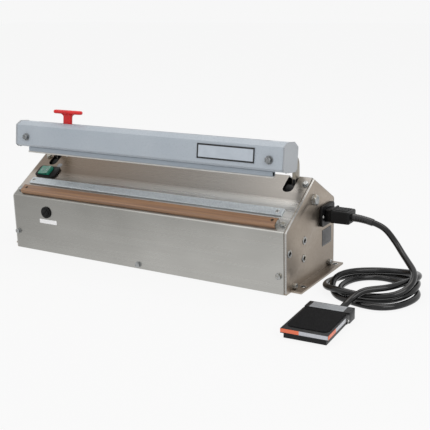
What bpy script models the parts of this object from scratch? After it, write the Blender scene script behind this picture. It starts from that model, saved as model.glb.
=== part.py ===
"""Impulse sealer: a sheet metal body with a sloped panel, a sealing arm on two levers,
a film cutter that slides along the arm, and a foot pedal on a cord.

Metres, +Z up. The origin is the middle of the body's underside. +X runs along the machine
to the end plate with the pedal socket, and the front faces -Y. The arm stands open.
"""

import math

import bmesh
import bpy
import numpy as np
from mathutils import Matrix, Vector

# Fits that several pieces share
seam = 0.0003
cut_overrun = 0.001
round_steps = 24
fine_round_steps = 32
bend_steps = 5

# Body covers, seen from the end: front wall, sloped panel, rear slope and rear wall
body_length = 0.456
body_depth = 0.150
front_height = 0.0831
ridge_height = 0.1357
ridge_setback = 0.0844
rear_drop_from_ridge = 0.0393
cover_sheet = 0.0015
cover_bend_radius = 0.004
cover_bottom_lift = 0.0006

# End plates, each with flanges bent inwards for the covers and a foot bent outwards
plate_sheet = 0.0025
plate_flange_width = 0.014
plate_corner_clip = 0.0016
foot_width = 0.0148
foot_setback = 0.0145
foot_hole_radius = 0.00325
foot_hole_setback = 0.0355
foot_hole_from_rear = 0.0125

# Base tray between the end plates
base_sheet = 0.0015
base_wall_height = 0.015
spring_post_width = 0.012
spring_post_over_bar = 0.0061
spring_post_from_rear = 0.022
spring_post_sheet = 0.002

# Pivot of the arm, from the front wall and below the ridge
pivot_setback = 0.0815
pivot_drop_from_ridge = 0.0287
arm_opening_angle = math.radians(40)
shaft_radius = 0.007
shaft_bolt_depth = 0.014
pivot_bolt_radius = 0.004
pivot_bolt_head_radius = 0.0075
pivot_bolt_head_height = 0.0053
pivot_washer_radius = 0.0085
pivot_washer_thickness = 0.0016

# Levers that carry the arm
lever_end_gap = 0.025
lever_thickness = 0.005
lever_width = 0.0118
lever_bend_radius = 0.009
lever_drop_from_bolt = 0.00273
lever_front_gap = 0.0006
lever_end_inset = 0.003
lever_block_length = 0.010
lever_block_height = 0.0118
lever_block_width = 0.010
hub_radius = 0.0125
hub_width = 0.010
tail_length = 0.032
tail_angle_from_down = math.radians(20)
bush_wall = 0.0017
bush_flange_radius = 0.011
bush_flange_thickness = 0.001
tie_bar_radius = 0.004

# Lever slots in the sloped panel, and the curved guards that fill them
slot_width = 0.0148
slot_shift_from_lever = 0.0033
slot_low_end = 0.0692
slot_rear_reach = 0.010
guard_outer_radius = 0.0203
guard_thickness = 0.0025
guard_width = 0.0136
guard_start_angle = math.radians(111)
guard_end_angle = math.radians(158)

# Sealing bar on the panel: along the slope from its front edge, and above it
bar_end_gap = 0.0133
bar_front = 0.0059
bar_depth = 0.0122
bar_height = 0.0046
bar_edge_radius = 0.0016
tape_thickness = 0.0004
band_width = 0.004
band_thickness = 0.0003
clamp_length = 0.005

# Film rest behind the sealing bar, with the cutting groove between them
rest_front = 0.0256
rest_depth = 0.0124
rest_thickness = 0.0022
rest_end_gap = 0.0135

# Arm, drawn closed on the bar: depth along the slope, and height above its front lower edge
arm_end_gap = 0.0042
arm_front = 0.0039
arm_lift = 0.0196
arm_depth = 0.037
arm_front_height = 0.0283
arm_height = 0.034
arm_top_front = 0.009
arm_top_rear = 0.011
arm_rear_height = 0.0275
arm_lip_run = 0.0045
arm_lip_drop = 0.0032
arm_wall = 0.002
arm_front_lip_reach = 0.0145
arm_ledge_height = 0.0175
arm_ledge_thickness = 0.002
arm_ledge_reach = 0.0035
arm_notch_width = 0.0136
arm_notch_height = 0.017
cap_thickness = 0.002
arm_bolt_height = 0.0112
arm_bolt_inset = 0.0027
arm_bolt_radius = 0.0025
arm_bolt_length = 0.009
arm_bolt_head_radius = 0.0045
arm_bolt_head_height = 0.0035
arm_washer_radius = 0.0055
arm_washer_thickness = 0.001

# Pressure bar and its silicone strip under the arm
press_centre = 0.0096
press_depth = 0.008
press_height = 0.0068
press_end_gap = 0.0225
press_edge_radius = 0.0025
silicone_depth = 0.005
silicone_height = 0.0024
silicone_inset = 0.0008

# Name plate on the arm's front face
name_plate_from_end = 0.0456
name_plate_length = 0.0846
name_plate_height = 0.0187
name_plate_base = 0.0050
name_plate_thickness = 0.0006

# Film cutter that slides along the arm
cutter_from_end = 0.088
cutter_centre = 0.0185
cutter_slot_width = 0.006
cutter_slot_end_gap = 0.032
carriage_half_length = 0.014
carriage_plate_thickness = 0.004
carriage_leg_depth = 0.004
carriage_leg_reach = 0.0022
carriage_neck_depth = 0.009
blade_thickness = 0.0008
blade_half_length = 0.009
blade_reach = 0.0122
blade_grip = 0.006
handle_stem_length = 0.0143
handle_stem_depth = 0.0052
handle_grip_length = 0.0507
handle_grip_depth = 0.0132
handle_grip_thickness = 0.0055
handle_height = 0.0198
handle_flare_height = 0.004
handle_flare_length = 0.0258
handle_round_radius = 0.0018

# Rocker switch on the panel
switch_left = 0.0118
switch_low = 0.0420
switch_length = 0.0395
switch_depth = 0.0220
switch_thickness = 0.0024
switch_corner_radius = 0.005
switch_body_inset = 0.0018
switch_body_drop = 0.015
rocker_left = 0.0060
rocker_length = 0.0205
rocker_depth = 0.0160
rocker_height = 0.0060
rocker_drop = 0.0050
rocker_tilt = math.radians(6)
rocker_axis_height = 0.0010
rocker_clearance = 0.0010

# Fuse holder on the front wall
fuse_from_end = 0.063
fuse_height = 0.0623
fuse_flange_radius = 0.00875
fuse_flange_thickness = 0.0018
fuse_body_radius = 0.0065
fuse_body_length = 0.030
fuse_cap_radius = 0.0058
fuse_cap_proud = 0.0008
fuse_cap_depth = 0.012
fuse_slot_width = 0.0014
fuse_slot_depth = 0.0009

# Pedal socket on the end plate, and the plug in it
socket_from_rear = 0.030
socket_drop_from_slope = 0.0179
socket_flange_length = 0.041
socket_flange_height = 0.0285
socket_flange_thickness = 0.0040
socket_corner_radius = 0.005
socket_body_length = 0.028
socket_body_height = 0.020
socket_body_depth = 0.022
socket_recess_length = 0.0236
socket_recess_height = 0.0156
socket_recess_depth = 0.0160
plug_length = 0.0385
plug_width = 0.0270
plug_height = 0.0235
plug_end_width = 0.0170
plug_end_height = 0.0140
plug_end_rise = 0.0035
plug_taper_length = 0.0090
relief_length = 0.0255
relief_root_radius = 0.0056
relief_tip_radius = 0.0047
relief_droop = math.radians(14)
relief_rise = 0.0020

# Mains inlet on the rear wall
inlet_from_end = 0.058
inlet_height = 0.050
inlet_flange_length = 0.050
inlet_flange_height = 0.028
inlet_flange_thickness = 0.003
inlet_corner_radius = 0.004
inlet_body_length = 0.030
inlet_body_height = 0.022
inlet_body_depth = 0.024
inlet_recess_length = 0.0245
inlet_recess_height = 0.0165
inlet_recess_depth = 0.0170
inlet_pin_thickness = 0.002
inlet_pin_height = 0.004
inlet_pin_length = 0.0105
inlet_pin_pitch = 0.007
inlet_pin_offset = 0.002

# Holding magnet on its stand, and the armature on the tie bar
armature_length = 0.070
armature_height = 0.028
armature_thickness = 0.006
armature_hub_radius = 0.0065
armature_hub_length = 0.024
magnet_air_gap = 0.0015
magnet_depth = 0.030
magnet_back_depth = 0.007
magnet_leg_length = 0.010
magnet_core_length = 0.020
magnet_height = 0.028
coil_wall = 0.0095
coil_end_gap = 0.002
stand_sheet = 0.0025
stand_foot = 0.012
stand_depth = 0.026

# Transformer, control board and terminal block inside the body
transformer_x = -0.095
transformer_setback = 0.072
transformer_length = 0.066
transformer_depth = 0.030
transformer_room_under_bar = 0.0201
transformer_lug_length = 0.009
transformer_lug_thickness = 0.002
winding_length = 0.040
winding_overhang = 0.012
winding_base = 0.0085
board_x = 0.100
board_setback = 0.055
board_length = 0.110
board_depth = 0.070
board_thickness = 0.0016
board_lift = 0.010
board_post_radius = 0.003
board_post_inset = 0.006
board_part_height = 0.016
board_part_shares = ((-0.30, 0.10, 0.22, 0.30), (0.02, 0.16, 0.16, 0.24), (0.30, -0.10, 0.20, 0.36))
terminal_from_end = 0.043
terminal_setback = 0.045
terminal_length = 0.045
terminal_depth = 0.018
terminal_height = 0.016
terminal_step = 0.007

# Return springs, which push the tie bar away from two posts on the base tray
spring_x = 0.050
spring_wire_radius = 0.0007
spring_coil_radius = 0.0042
spring_curls = 11
spring_points_per_curl = 8

# Foot pedal, placed by its middle and turned a little on the floor
pedal_x = 0.3094
pedal_y = -0.1474
pedal_turn = math.radians(3.2)
pedal_width = 0.0567
pedal_length = 0.089
pedal_housing_height = 0.013
pedal_housing_length = 0.0185
pedal_treadle_top = 0.0122
pedal_treadle_sheet = 0.0016
pedal_skirt_sheet = 0.0015
pedal_skirt_bottom = 0.0065
pedal_ear_bottom = 0.0025
pedal_ear_length = 0.009
pedal_base_inset = 0.0028
pedal_base_wall = 0.0018
pedal_base_floor = 0.0018
pedal_base_height = 0.0062
pedal_pin_from_rear = 0.0235
pedal_pin_height = 0.0054
pedal_pin_radius = 0.0018
pedal_pin_proud = 0.0006
pedal_lug_length = 0.008
pedal_lug_width = 0.005
pedal_pad_thickness = 0.001
pedal_pad_margin = 0.003
pedal_corner_radius = 0.0012
pedal_cord_height = 0.0062
pedal_cord_from_middle = 0.009
pedal_switch_length = 0.0198
pedal_switch_width = 0.0062
pedal_switch_height = 0.0058
pedal_switch_y = -0.004
pedal_button_radius = 0.0012
pedal_button_height = 0.0006
pedal_spring_y = -0.026
pedal_spring_radius = 0.0035
pedal_spring_wire_radius = 0.0004
pedal_spring_curls = 4

# Cord from the plug to the pedal, laid in a loose coil on the floor
cord_radius = 0.004
cord_sides = 2
coil_sides = 1
coil_points_per_loop = 44
coil_points_per_mark = 2

# Hand-chosen route of the cord through the coil: x, y, z
coil_route = (
    (0.3592, 0.0138, 0.0377),
    (0.3716, -0.0015, 0.0325),
    (0.3767, -0.0161, 0.0280),
    (0.3757, -0.0297, 0.0223),
    (0.3695, -0.0406, 0.0174),
    (0.3594, -0.0484, 0.0142),
    (0.3456, -0.0529, 0.0122),
    (0.3297, -0.0551, 0.0111),
    (0.3144, -0.0571, 0.0122),
    (0.2993, -0.0570, 0.0134),
    (0.2839, -0.0519, 0.0121),
    (0.2698, -0.0392, 0.0087),
    (0.2631, -0.0203, 0.0062),
    (0.2650, -0.0002, 0.0048),
    (0.2736, 0.0180, 0.0043),
    (0.2869, 0.0331, 0.0043),
    (0.3032, 0.0441, 0.0043),
    (0.3213, 0.0495, 0.0043),
    (0.3397, 0.0476, 0.0046),
    (0.3565, 0.0378, 0.0070),
    (0.3693, 0.0212, 0.0110),
    (0.3754, 0.0011, 0.0132),
    (0.3745, -0.0179, 0.0108),
    (0.3682, -0.0317, 0.0082),
    (0.3581, -0.0411, 0.0060),
    (0.3450, -0.0465, 0.0045),
    (0.3303, -0.0496, 0.0042),
    (0.3158, -0.0508, 0.0043),
    (0.3026, -0.0472, 0.0043),
    (0.2915, -0.0384, 0.0043),
    (0.2841, -0.0248, 0.0043),
    (0.2827, -0.0079, 0.0045),
    (0.2873, 0.0089, 0.0048),
    (0.2965, 0.0223, 0.0046),
    (0.3082, 0.0304, 0.0043),
    (0.3216, 0.0332, 0.0043),
    (0.3361, 0.0307, 0.0043),
    (0.3515, 0.0242, 0.0043),
    (0.3659, 0.0142, 0.0043),
    (0.3766, 0.0009, 0.0043),
    (0.3806, -0.0162, 0.0044),
    (0.3770, -0.0363, 0.0043),
    (0.3683, -0.0540, 0.0043),
    (0.3561, -0.0647, 0.0043),
    (0.3411, -0.0688, 0.0043),
    (0.3241, -0.0666, 0.0042),
    (0.3072, -0.0620, 0.0043),
    (0.2929, -0.0547, 0.0042),
    (0.2831, -0.0444, 0.0044),
    (0.2766, -0.0334, 0.0061),
    (0.2721, -0.0220, 0.0089),
    (0.2714, -0.0094, 0.0115),
    (0.2756, 0.0044, 0.0131),
    (0.2863, 0.0191, 0.0133),
    (0.3014, 0.0317, 0.0126),
    (0.3178, 0.0400, 0.0123),
    (0.3348, 0.0425, 0.0129),
    (0.3523, 0.0392, 0.0153),
    (0.3654, 0.0303, 0.0182),
    (0.3725, 0.0182, 0.0206),
    (0.3738, 0.0038, 0.0221),
    (0.3693, -0.0125, 0.0225),
    (0.3621, -0.0288, 0.0223),
    (0.3536, -0.0422, 0.0218),
    (0.3438, -0.0515, 0.0216),
)

# Straight length of the cord where it leaves a piece
cord_lead = 0.008

# Hand-chosen route of the cord from the plug down to the coil: x, y, z
cord_run_route = (
    (0.3180, 0.0438, 0.0672),
    (0.3329, 0.0388, 0.0538),
    (0.3424, 0.0321, 0.0457),
)

# Hand-chosen route of the cord from the coil to the pedal's rear face: x, y, z
cord_tail_route = (
    (0.3250, -0.0675, 0.0176),
    (0.3190, -0.0770, 0.0120),
)

# Places that follow from the sizes above
front_y = -body_depth / 2
rear_y = body_depth / 2
rear_height = ridge_height - rear_drop_from_ridge
cover_half = body_length / 2
slope_angle = math.atan2(ridge_height - front_height, ridge_setback)
slope_length = math.hypot(ridge_height - front_height, ridge_setback)
plate_inner_x = cover_half + seam * 2
plate_outer_x = plate_inner_x + plate_sheet
plate_inset = cover_sheet + seam
pivot_y = front_y + pivot_setback
pivot_height = ridge_height - pivot_drop_from_ridge
bush_outer_radius = shaft_radius + seam + bush_wall
hub_bore_radius = bush_outer_radius + seam
lever_inner_x = cover_half - lever_end_gap
lever_outer_x = lever_inner_x + lever_thickness
lever_middle_x = lever_inner_x + lever_thickness / 2
arm_bolt_x = lever_middle_x - arm_bolt_inset
slot_centre_x = lever_middle_x - slot_shift_from_lever
bar_half_length = cover_half - bar_end_gap
rest_half_length = cover_half - rest_end_gap
arm_half_length = cover_half - arm_end_gap
press_half_length = cover_half - press_end_gap
cutter_slot_half_length = cover_half - cutter_slot_end_gap
fuse_x = fuse_from_end - cover_half
inlet_x = inlet_from_end - cover_half
socket_height = rear_height - socket_drop_from_slope
cutter_x = cutter_from_end - cover_half
bar_top = seam + bar_height
band_base = bar_top + seam
tape_base = band_base + band_thickness + seam


def finish(name, colour, roughness, metallic):
    """A plain material from an sRGB colour."""
    linear = [((c + 0.055) / 1.055) ** 2.4 if c > 0.04045 else c / 12.92 for c in colour]
    made = bpy.data.materials.new(name)
    made.use_nodes = True
    shader = made.node_tree.nodes["Principled BSDF"]
    shader.inputs["Base Color"].default_value = (*linear, 1)
    shader.inputs["Roughness"].default_value = roughness
    shader.inputs["Metallic"].default_value = metallic
    made.diffuse_color = (*linear, 1)
    return made


def clear_scene():
    for thing in list(bpy.data.objects):
        bpy.data.objects.remove(thing)


def frame(origin, across, along):
    """A placement whose X, Y and Z run along across, along and their cross product."""
    across = Vector(across).normalized()
    along = Vector(along).normalized()
    out = across.cross(along)
    turned_axes = Matrix((across, along, out)).transposed().to_4x4()
    return Matrix.Translation(origin) @ turned_axes


def panel_point(along, above):
    """World y and z of a point on the sloped panel: along the slope, and above its skin."""
    y = front_y + along * math.cos(slope_angle) - above * math.sin(slope_angle)
    z = front_height + along * math.sin(slope_angle) + above * math.cos(slope_angle)
    return y, z


def turn_about_pivot(y, z, angle):
    dy = y - pivot_y
    dz = z - pivot_height
    turned_y = pivot_y + dy * math.cos(angle) - dz * math.sin(angle)
    turned_z = pivot_height + dy * math.sin(angle) + dz * math.cos(angle)
    return turned_y, turned_z


def arm_point(depth, height):
    """World y and z of a point of the arm, which is drawn closed and then swung open."""
    y, z = panel_point(arm_front + depth, arm_lift + height)
    return turn_about_pivot(y, z, -arm_opening_angle)


def arm_axes():
    """The arm's front lower edge, and the ways its depth and its height run, in y and z."""
    tilt = slope_angle - arm_opening_angle
    start = Vector(arm_point(0, 0))
    return start, Vector((math.cos(tilt), math.sin(tilt))), Vector((-math.sin(tilt), math.cos(tilt)))


def new_object(name, mesh, look, place):
    thing = bpy.data.objects.new(name, mesh)
    thing.matrix_world = place
    if look:
        mesh.materials.append(look)
    bpy.context.collection.objects.link(thing)
    return thing


def smooth(thing):
    thing.data.shade_smooth()
    thing.data.set_sharp_from_angle(angle=math.radians(32))
    return thing


def finished_mesh(name, shape):
    bmesh.ops.remove_doubles(shape, verts=shape.verts, dist=seam / 100)
    bmesh.ops.recalc_face_normals(shape, faces=shape.faces)
    mesh = bpy.data.meshes.new(name)
    shape.to_mesh(mesh)
    shape.free()
    return mesh


def prism(name, outline, low, high, look=None, place=Matrix()):
    """The outline, drawn in X and Y, carried from low to high along Z."""
    shape = bmesh.new()
    corners = [shape.verts.new((u, v, low)) for u, v in outline]
    face = shape.faces.new(corners)
    raised = bmesh.ops.extrude_face_region(shape, geom=[face])
    moved = [item for item in raised["geom"] if isinstance(item, bmesh.types.BMVert)]
    bmesh.ops.translate(shape, verts=moved, vec=(0, 0, high - low))
    return new_object(name, finished_mesh(name, shape), look, place)


def turned(name, profile, look=None, place=Matrix(), steps=round_steps):
    """A closed profile of radius and height, turned about Z. Radius 0 lies on the axis."""
    shape = bmesh.new()
    rings = []
    for step in range(steps):
        angle = 2 * math.pi * step / steps
        ring = [shape.verts.new((r * math.cos(angle), r * math.sin(angle), h)) for r, h in profile]
        rings.append(ring)
    for step, ring in enumerate(rings):
        following = rings[(step + 1) % steps]
        for index in range(len(profile)):
            after = (index + 1) % len(profile)
            if profile[index][0] == 0 and profile[after][0] == 0:
                continue
            loop = (ring[index], ring[after], following[after], following[index])
            shape.faces.new(loop)
    bmesh.ops.remove_doubles(shape, verts=shape.verts, dist=seam / 100)
    bmesh.ops.dissolve_degenerate(shape, edges=shape.edges, dist=seam / 100)
    return smooth(new_object(name, finished_mesh(name, shape), look, place))


def along_x(x=0):
    """Outlines in Y and Z, carried along X."""
    return frame((x, 0, 0), (0, 1, 0), (0, 0, 1))


def on_front(x, height):
    """Outlines in X and Z on the front wall, carried towards the user."""
    return frame((x, front_y, height), (1, 0, 0), (0, 0, 1))


def on_rear(x, height):
    """Outlines in -X and Z on the rear wall, carried away from the body."""
    return frame((x, rear_y, height), (-1, 0, 0), (0, 0, 1))


def on_panel(x, along):
    """Outlines in X and up the slope, carried out of the sloped panel."""
    y, z = panel_point(along, 0)
    return frame((x, y, z), (1, 0, 0), (0, math.cos(slope_angle), math.sin(slope_angle)))


def round_bar(name, radius, low, high, look=None, place=Matrix(), steps=round_steps):
    profile = ((0, low), (radius, low), (radius, high), (0, high))
    return turned(name, profile, look, place, steps)


def rectangle(left, right, low, high):
    return [(left, low), (right, low), (right, high), (left, high)]


def rounded_rectangle(left, right, low, high, radius, steps=bend_steps):
    """A rectangle whose corners are arcs of the given radius."""
    outline = []
    corners = (
        (right - radius, low + radius, -math.pi / 2),
        (right - radius, high - radius, 0),
        (left + radius, high - radius, math.pi / 2),
        (left + radius, low + radius, math.pi),
    )
    for u, v, start in corners:
        for step in range(steps + 1):
            angle = start + math.pi / 2 * step / steps
            outline.append((u + radius * math.cos(angle), v + radius * math.sin(angle)))
    return outline


def bent_strip(corners, thickness, radius, side, mitre_start=False, mitre_end=False):
    """The outline of a strip bent along corners. side is +1 if its thickness lies to the
    left of the path and -1 if to the right. Each bend is an arc of the given radius on the
    path's own line. A mitred end is cut upright."""
    outer = []
    inner = []
    last = len(corners) - 1
    for index, (u, v) in enumerate(corners):
        here = Vector((u, v))
        if index == 0 or index == last:
            other = Vector(corners[1] if index == 0 else corners[last - 1])
            direction = (other - here if index == 0 else here - other).normalized()
            left = Vector((-direction.y, direction.x)) * side
            end = here + left * thickness
            mitred = mitre_start if index == 0 else mitre_end
            if mitred:
                end = here + Vector((0, thickness / left.y))
            outer.append(tuple(here))
            inner.append(tuple(end))
            continue
        before = (here - Vector(corners[index - 1])).normalized()
        after = (Vector(corners[index + 1]) - here).normalized()
        turn = math.atan2(before.x * after.y - before.y * after.x, before.dot(after))
        reach = radius * math.tan(abs(turn) / 2)
        hand = 1 if turn > 0 else -1
        start = here - before * reach
        centre = start + Vector((-before.y, before.x)) * hand * radius
        for step in range(bend_steps + 1):
            angle = turn * step / bend_steps
            left = Matrix.Rotation(angle, 2) @ Vector((-before.y, before.x))
            point = centre - left * hand * radius
            outer.append(tuple(point))
            inner.append(tuple(point + left * side * thickness))
    return outer + inner[::-1]


def inset_outline(corners, distances):
    """Each edge of a convex outline, from corner i to i + 1, moved inwards by its distance."""
    lines = []
    count = len(corners)
    middle = Vector((sum(u for u, v in corners) / count, sum(v for u, v in corners) / count))
    for index, distance in enumerate(distances):
        start = Vector(corners[index])
        direction = (Vector(corners[(index + 1) % count]) - start).normalized()
        normal = Vector((-direction.y, direction.x))
        if (middle - start).dot(normal) < 0:
            normal = -normal
        lines.append((start + normal * distance, direction))
    moved = []
    for index in range(count):
        first_point, first = lines[index - 1]
        second_point, second = lines[index]
        cross = first.x * second.y - first.y * second.x
        gap = second_point - first_point
        run = (gap.x * second.y - gap.y * second.x) / cross
        moved.append(tuple(first_point + first * run))
    return moved


def cutter(thing):
    thing.hide_render = True
    thing.display_type = "WIRE"
    return thing


def combine(thing, other, operation):
    change = thing.modifiers.new(other.name, "BOOLEAN")
    change.operation = operation
    change.object = cutter(other)
    return thing


def cut(thing, *others):
    for other in others:
        combine(thing, other, "DIFFERENCE")
    return thing


def join(thing, *others):
    for other in others:
        combine(thing, other, "UNION")
    return thing


def round_edges(thing, radius, segments=2):
    change = thing.modifiers.new("rounded edges", "BEVEL")
    change.width = radius
    change.segments = segments
    change.limit_method = "ANGLE"
    change.angle_limit = math.radians(50)
    return smooth(thing)


def carry(things, empty_name, place):
    """Parents moving pieces to an empty on their joint's axis."""
    axis = bpy.data.objects.new(empty_name, None)
    axis.matrix_world = place
    bpy.context.collection.objects.link(axis)
    for thing in things:
        stays = thing.matrix_world.copy()
        thing.parent = axis
        thing.matrix_parent_inverse = place.inverted()
        thing.matrix_world = stays
    return axis


def wire_object(name, points, radius, sides, look):
    """A round tube with filled ends through the points."""
    curve = bpy.data.curves.new(name, "CURVE")
    curve.dimensions = "3D"
    curve.bevel_depth = radius
    curve.bevel_resolution = sides
    curve.use_fill_caps = True
    spline = curve.splines.new("POLY")
    spline.points.add(len(points) - 1)
    spline.points.foreach_set("co", np.column_stack([points, np.ones(len(points))]).ravel())
    spline.use_smooth = True
    curve.materials.append(look)
    thing = bpy.data.objects.new(name, curve)
    bpy.context.collection.objects.link(thing)
    return thing


def curve_through(marks, steps):
    """Points on the smooth curve that passes through marks, steps of them per stretch."""
    marks = np.array(marks)
    padded = np.vstack([2 * marks[0] - marks[1], marks, 2 * marks[-1] - marks[-2]])
    shares = np.arange(steps)[:, None] / steps
    stretches = []
    for index in range(len(marks) - 1):
        before, start, end, after = padded[index : index + 4]
        stretches.append(
            start
            + shares * (end - before) / 2
            + shares**2 * (before * 2 - start * 5 + end * 4 - after) / 2
            + shares**3 * (start * 3 - end * 3 + after - before) / 2
        )
    return np.vstack([*stretches, marks[-1:]])


def cord_route(start, start_way, marks, end_way, end, spacing):
    """Evenly spaced points from start to end by way of marks. The cord leaves each end
    straight, along its outward way, for cord_lead."""
    lead_in = Vector(start) + Vector(start_way).normalized() * cord_lead
    lead_out = Vector(end) + Vector(end_way).normalized() * cord_lead
    fine = curve_through([tuple(start), tuple(lead_in), *marks, tuple(lead_out), tuple(end)], round_steps)
    fine = fine[round_steps : len(fine) - round_steps]
    distance = np.concatenate([[0], np.cumsum(np.linalg.norm(np.diff(fine, axis=0), axis=1))])
    wanted = np.linspace(0, distance[-1], round(distance[-1] / spacing) + 1)
    even = np.column_stack([np.interp(wanted, distance, fine[:, axis]) for axis in range(3)])
    return np.vstack([tuple(start), even, tuple(end)])


def body_outline():
    """The covers' outer line from the end, front bottom corner first."""
    return [
        (front_y, 0),
        (front_y, front_height),
        (front_y + ridge_setback, ridge_height),
        (rear_y, rear_height),
        (rear_y, 0),
    ]


def make_covers(looks):
    outline = body_outline()
    bottom_front = (front_y, cover_bottom_lift)
    bottom_rear = (rear_y, cover_bottom_lift)
    ridge_y, ridge_z = outline[2]
    ridge_front = (ridge_y - seam, ridge_z - seam * math.tan(slope_angle))
    rear_fall = (ridge_height - rear_height) / (body_depth - ridge_setback)
    ridge_rear = (ridge_y + seam, ridge_z - seam * rear_fall)
    front_line = [bottom_front, outline[1], ridge_front]
    rear_line = [ridge_rear, outline[3], bottom_rear]
    front_strip = bent_strip(front_line, cover_sheet, cover_bend_radius, -1, mitre_end=True)
    rear_strip = bent_strip(rear_line, cover_sheet, cover_bend_radius, -1, mitre_start=True)
    front = prism("front_cover", front_strip, -cover_half, cover_half, looks["steel"], along_x())
    rear = prism("rear_cover", rear_strip, -cover_half, cover_half, looks["steel"], along_x())
    smooth(front)
    smooth(rear)
    for side in (-1, 1):
        slot_length = slope_length - slot_low_end + cut_overrun
        slot = rounded_rectangle(
            -slot_width / 2, slot_width / 2, 0, slot_length + slot_width, slot_width / 2 - seam
        )
        place = on_panel(side * slot_centre_x, slot_low_end)
        cut(front, prism("lever_slot", slot, -cover_sheet * 3, cover_sheet, place=place))
        low, high = rectangle_at(side * slot_centre_x, slot_width)
        notch = rectangle(low, high, ridge_y - cut_overrun, ridge_y + slot_rear_reach)
        drop = ridge_z - (slot_rear_reach + cover_sheet) * 2
        cut(rear, prism("lever_notch", notch, drop, ridge_z + cut_overrun))
    switch_hole = rectangle(
        -cover_half + switch_left + switch_body_inset - seam,
        -cover_half + switch_left + switch_length - switch_body_inset + seam,
        switch_body_inset - seam,
        switch_depth - switch_body_inset + seam,
    )
    place = on_panel(0, switch_low)
    cut(front, prism("switch_hole", switch_hole, -cover_sheet * 2, cover_sheet, place=place))
    fuse_hole = round_bar(
        "fuse_hole", fuse_body_radius + seam, -cover_sheet * 2, cover_sheet,
        place=on_front(fuse_x, fuse_height),
    )
    cut(front, fuse_hole)
    half_length = inlet_body_length / 2 + seam
    half_height = inlet_body_height / 2 + seam
    inlet_hole = rectangle(-half_length, half_length, -half_height, half_height)
    place = on_rear(inlet_x, inlet_height)
    cut(rear, prism("inlet_hole", inlet_hole, -cover_sheet * 2, cover_sheet, place=place))


def rectangle_at(middle, width):
    return middle - width / 2, middle + width / 2


def clipped(outline):
    """The outline with the corners under the covers' two bends cut off."""
    made = []
    for index, corner in enumerate(outline):
        here = Vector(corner)
        if index not in (1, 3):
            made.append(corner)
            continue
        for other in (outline[index - 1], outline[index + 1]):
            made.append(tuple(here + (Vector(other) - here).normalized() * plate_corner_clip))
    return made


def make_end_plate(side, looks):
    """One end plate: the upright plate, the flanges under the covers, and the foot."""
    name = "end_plate_right" if side > 0 else "end_plate_left"
    outer = clipped(inset_outline(body_outline(), [plate_inset] * 4 + [0]))
    inner = clipped(inset_outline(body_outline(), [plate_inset + plate_sheet] * 4 + [0]))
    low, high = sorted((side * plate_inner_x, side * plate_outer_x))
    plate = prism(name, outer, low, high, looks["plate"], along_x())
    ring = outer + inner[::-1]
    ring_inner_x = side * (plate_inner_x - plate_flange_width)
    ring_outer_x = side * (plate_inner_x + plate_sheet / 2)
    low, high = sorted((ring_inner_x, ring_outer_x))
    flange = prism(name + "_flange", ring, low, high, None, along_x())
    low, high = sorted((side * (plate_inner_x + plate_sheet / 2), side * (plate_outer_x + foot_width)))
    foot = prism(
        name + "_foot", rectangle(low, high, front_y + foot_setback, rear_y - plate_inset), 0, plate_sheet
    )
    join(plate, flange, foot)
    hole_x = side * (plate_outer_x + foot_width / 2)
    for hole_y in (front_y + foot_hole_setback, rear_y - foot_hole_from_rear):
        place = Matrix.Translation((hole_x, hole_y, 0))
        hole = round_bar(
            name + "_foot_hole", foot_hole_radius, -cut_overrun, plate_sheet + cut_overrun, place=place
        )
        cut(plate, hole)
    bolt_hole = round_bar(
        name + "_bolt_hole", pivot_bolt_radius + seam,
        plate_inner_x - cut_overrun, plate_outer_x + cut_overrun, place=pivot_place(side),
    )
    cut(plate, bolt_hole)
    if side > 0:
        half_length = socket_body_length / 2 + seam
        half_height = socket_body_height / 2 + seam
        hole = rectangle(-half_length, half_length, -half_height, half_height)
        cut(plate, prism("socket_hole", hole, -plate_sheet * 2, plate_sheet, place=socket_place()))
    return plate


def pivot_place(side):
    """Heights along the pivot's axis, away from the middle of the machine."""
    return frame((0, pivot_y, pivot_height), (0, side, 0), (0, 0, 1))


def socket_place():
    """Outlines in Y and Z on the right end plate's outer face, carried outwards."""
    y = rear_y - socket_from_rear
    return frame((plate_outer_x, y, socket_height), (0, 1, 0), (0, 0, 1))


def make_base(looks):
    front = front_y + plate_inset + plate_sheet + seam
    rear = rear_y - plate_inset - plate_sheet - seam
    half = plate_inner_x - seam
    tray = prism(
        "base_plate", rectangle(-half, half, front, rear), 0, base_wall_height, looks["galvanised"]
    )
    hollow = rectangle(
        -half + base_sheet, half - base_sheet, front + base_sheet, rear - base_sheet
    )
    top = base_wall_height + cut_overrun
    cut(tray, prism("base_hollow", hollow, base_sheet, top))
    post_y = rear_y - spring_post_from_rear
    post_top = lever_path()[0][1] + spring_post_over_bar
    for side in (-1, 1):
        low, high = rectangle_at(side * spring_x, spring_post_width)
        outline = rectangle(low, high, post_y, post_y + spring_post_sheet)
        join(tray, prism("spring_post", outline, base_sheet / 2, post_top))
    return tray


def make_pivot(looks):
    half = plate_inner_x - seam
    shaft = round_bar(
        "pivot_shaft", shaft_radius, -half, half, looks["bright_steel"],
        pivot_place(1), fine_round_steps,
    )
    for side, name in ((-1, "pivot_bolt_left"), (1, "pivot_bolt_right")):
        place = pivot_place(side)
        start = half - shaft_bolt_depth
        bore = round_bar("shaft_bore", pivot_bolt_radius + seam, start, half + cut_overrun, place=place)
        cut(shaft, bore)
        seat = plate_outer_x + seam
        profile = (
            (0, start + seam),
            (pivot_bolt_radius, start + seam),
            (pivot_bolt_radius, seat),
            (pivot_washer_radius, seat),
            (pivot_washer_radius, seat + pivot_washer_thickness),
            (0, seat + pivot_washer_thickness),
        )
        bolt = turned(name, profile, looks["zinc"], place)
        head = hexagon(pivot_bolt_head_radius)
        low = seat + pivot_washer_thickness / 2
        high = seat + pivot_washer_thickness + pivot_bolt_head_height
        join(bolt, prism(name + "_head", head, low, high, place=place))


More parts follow.
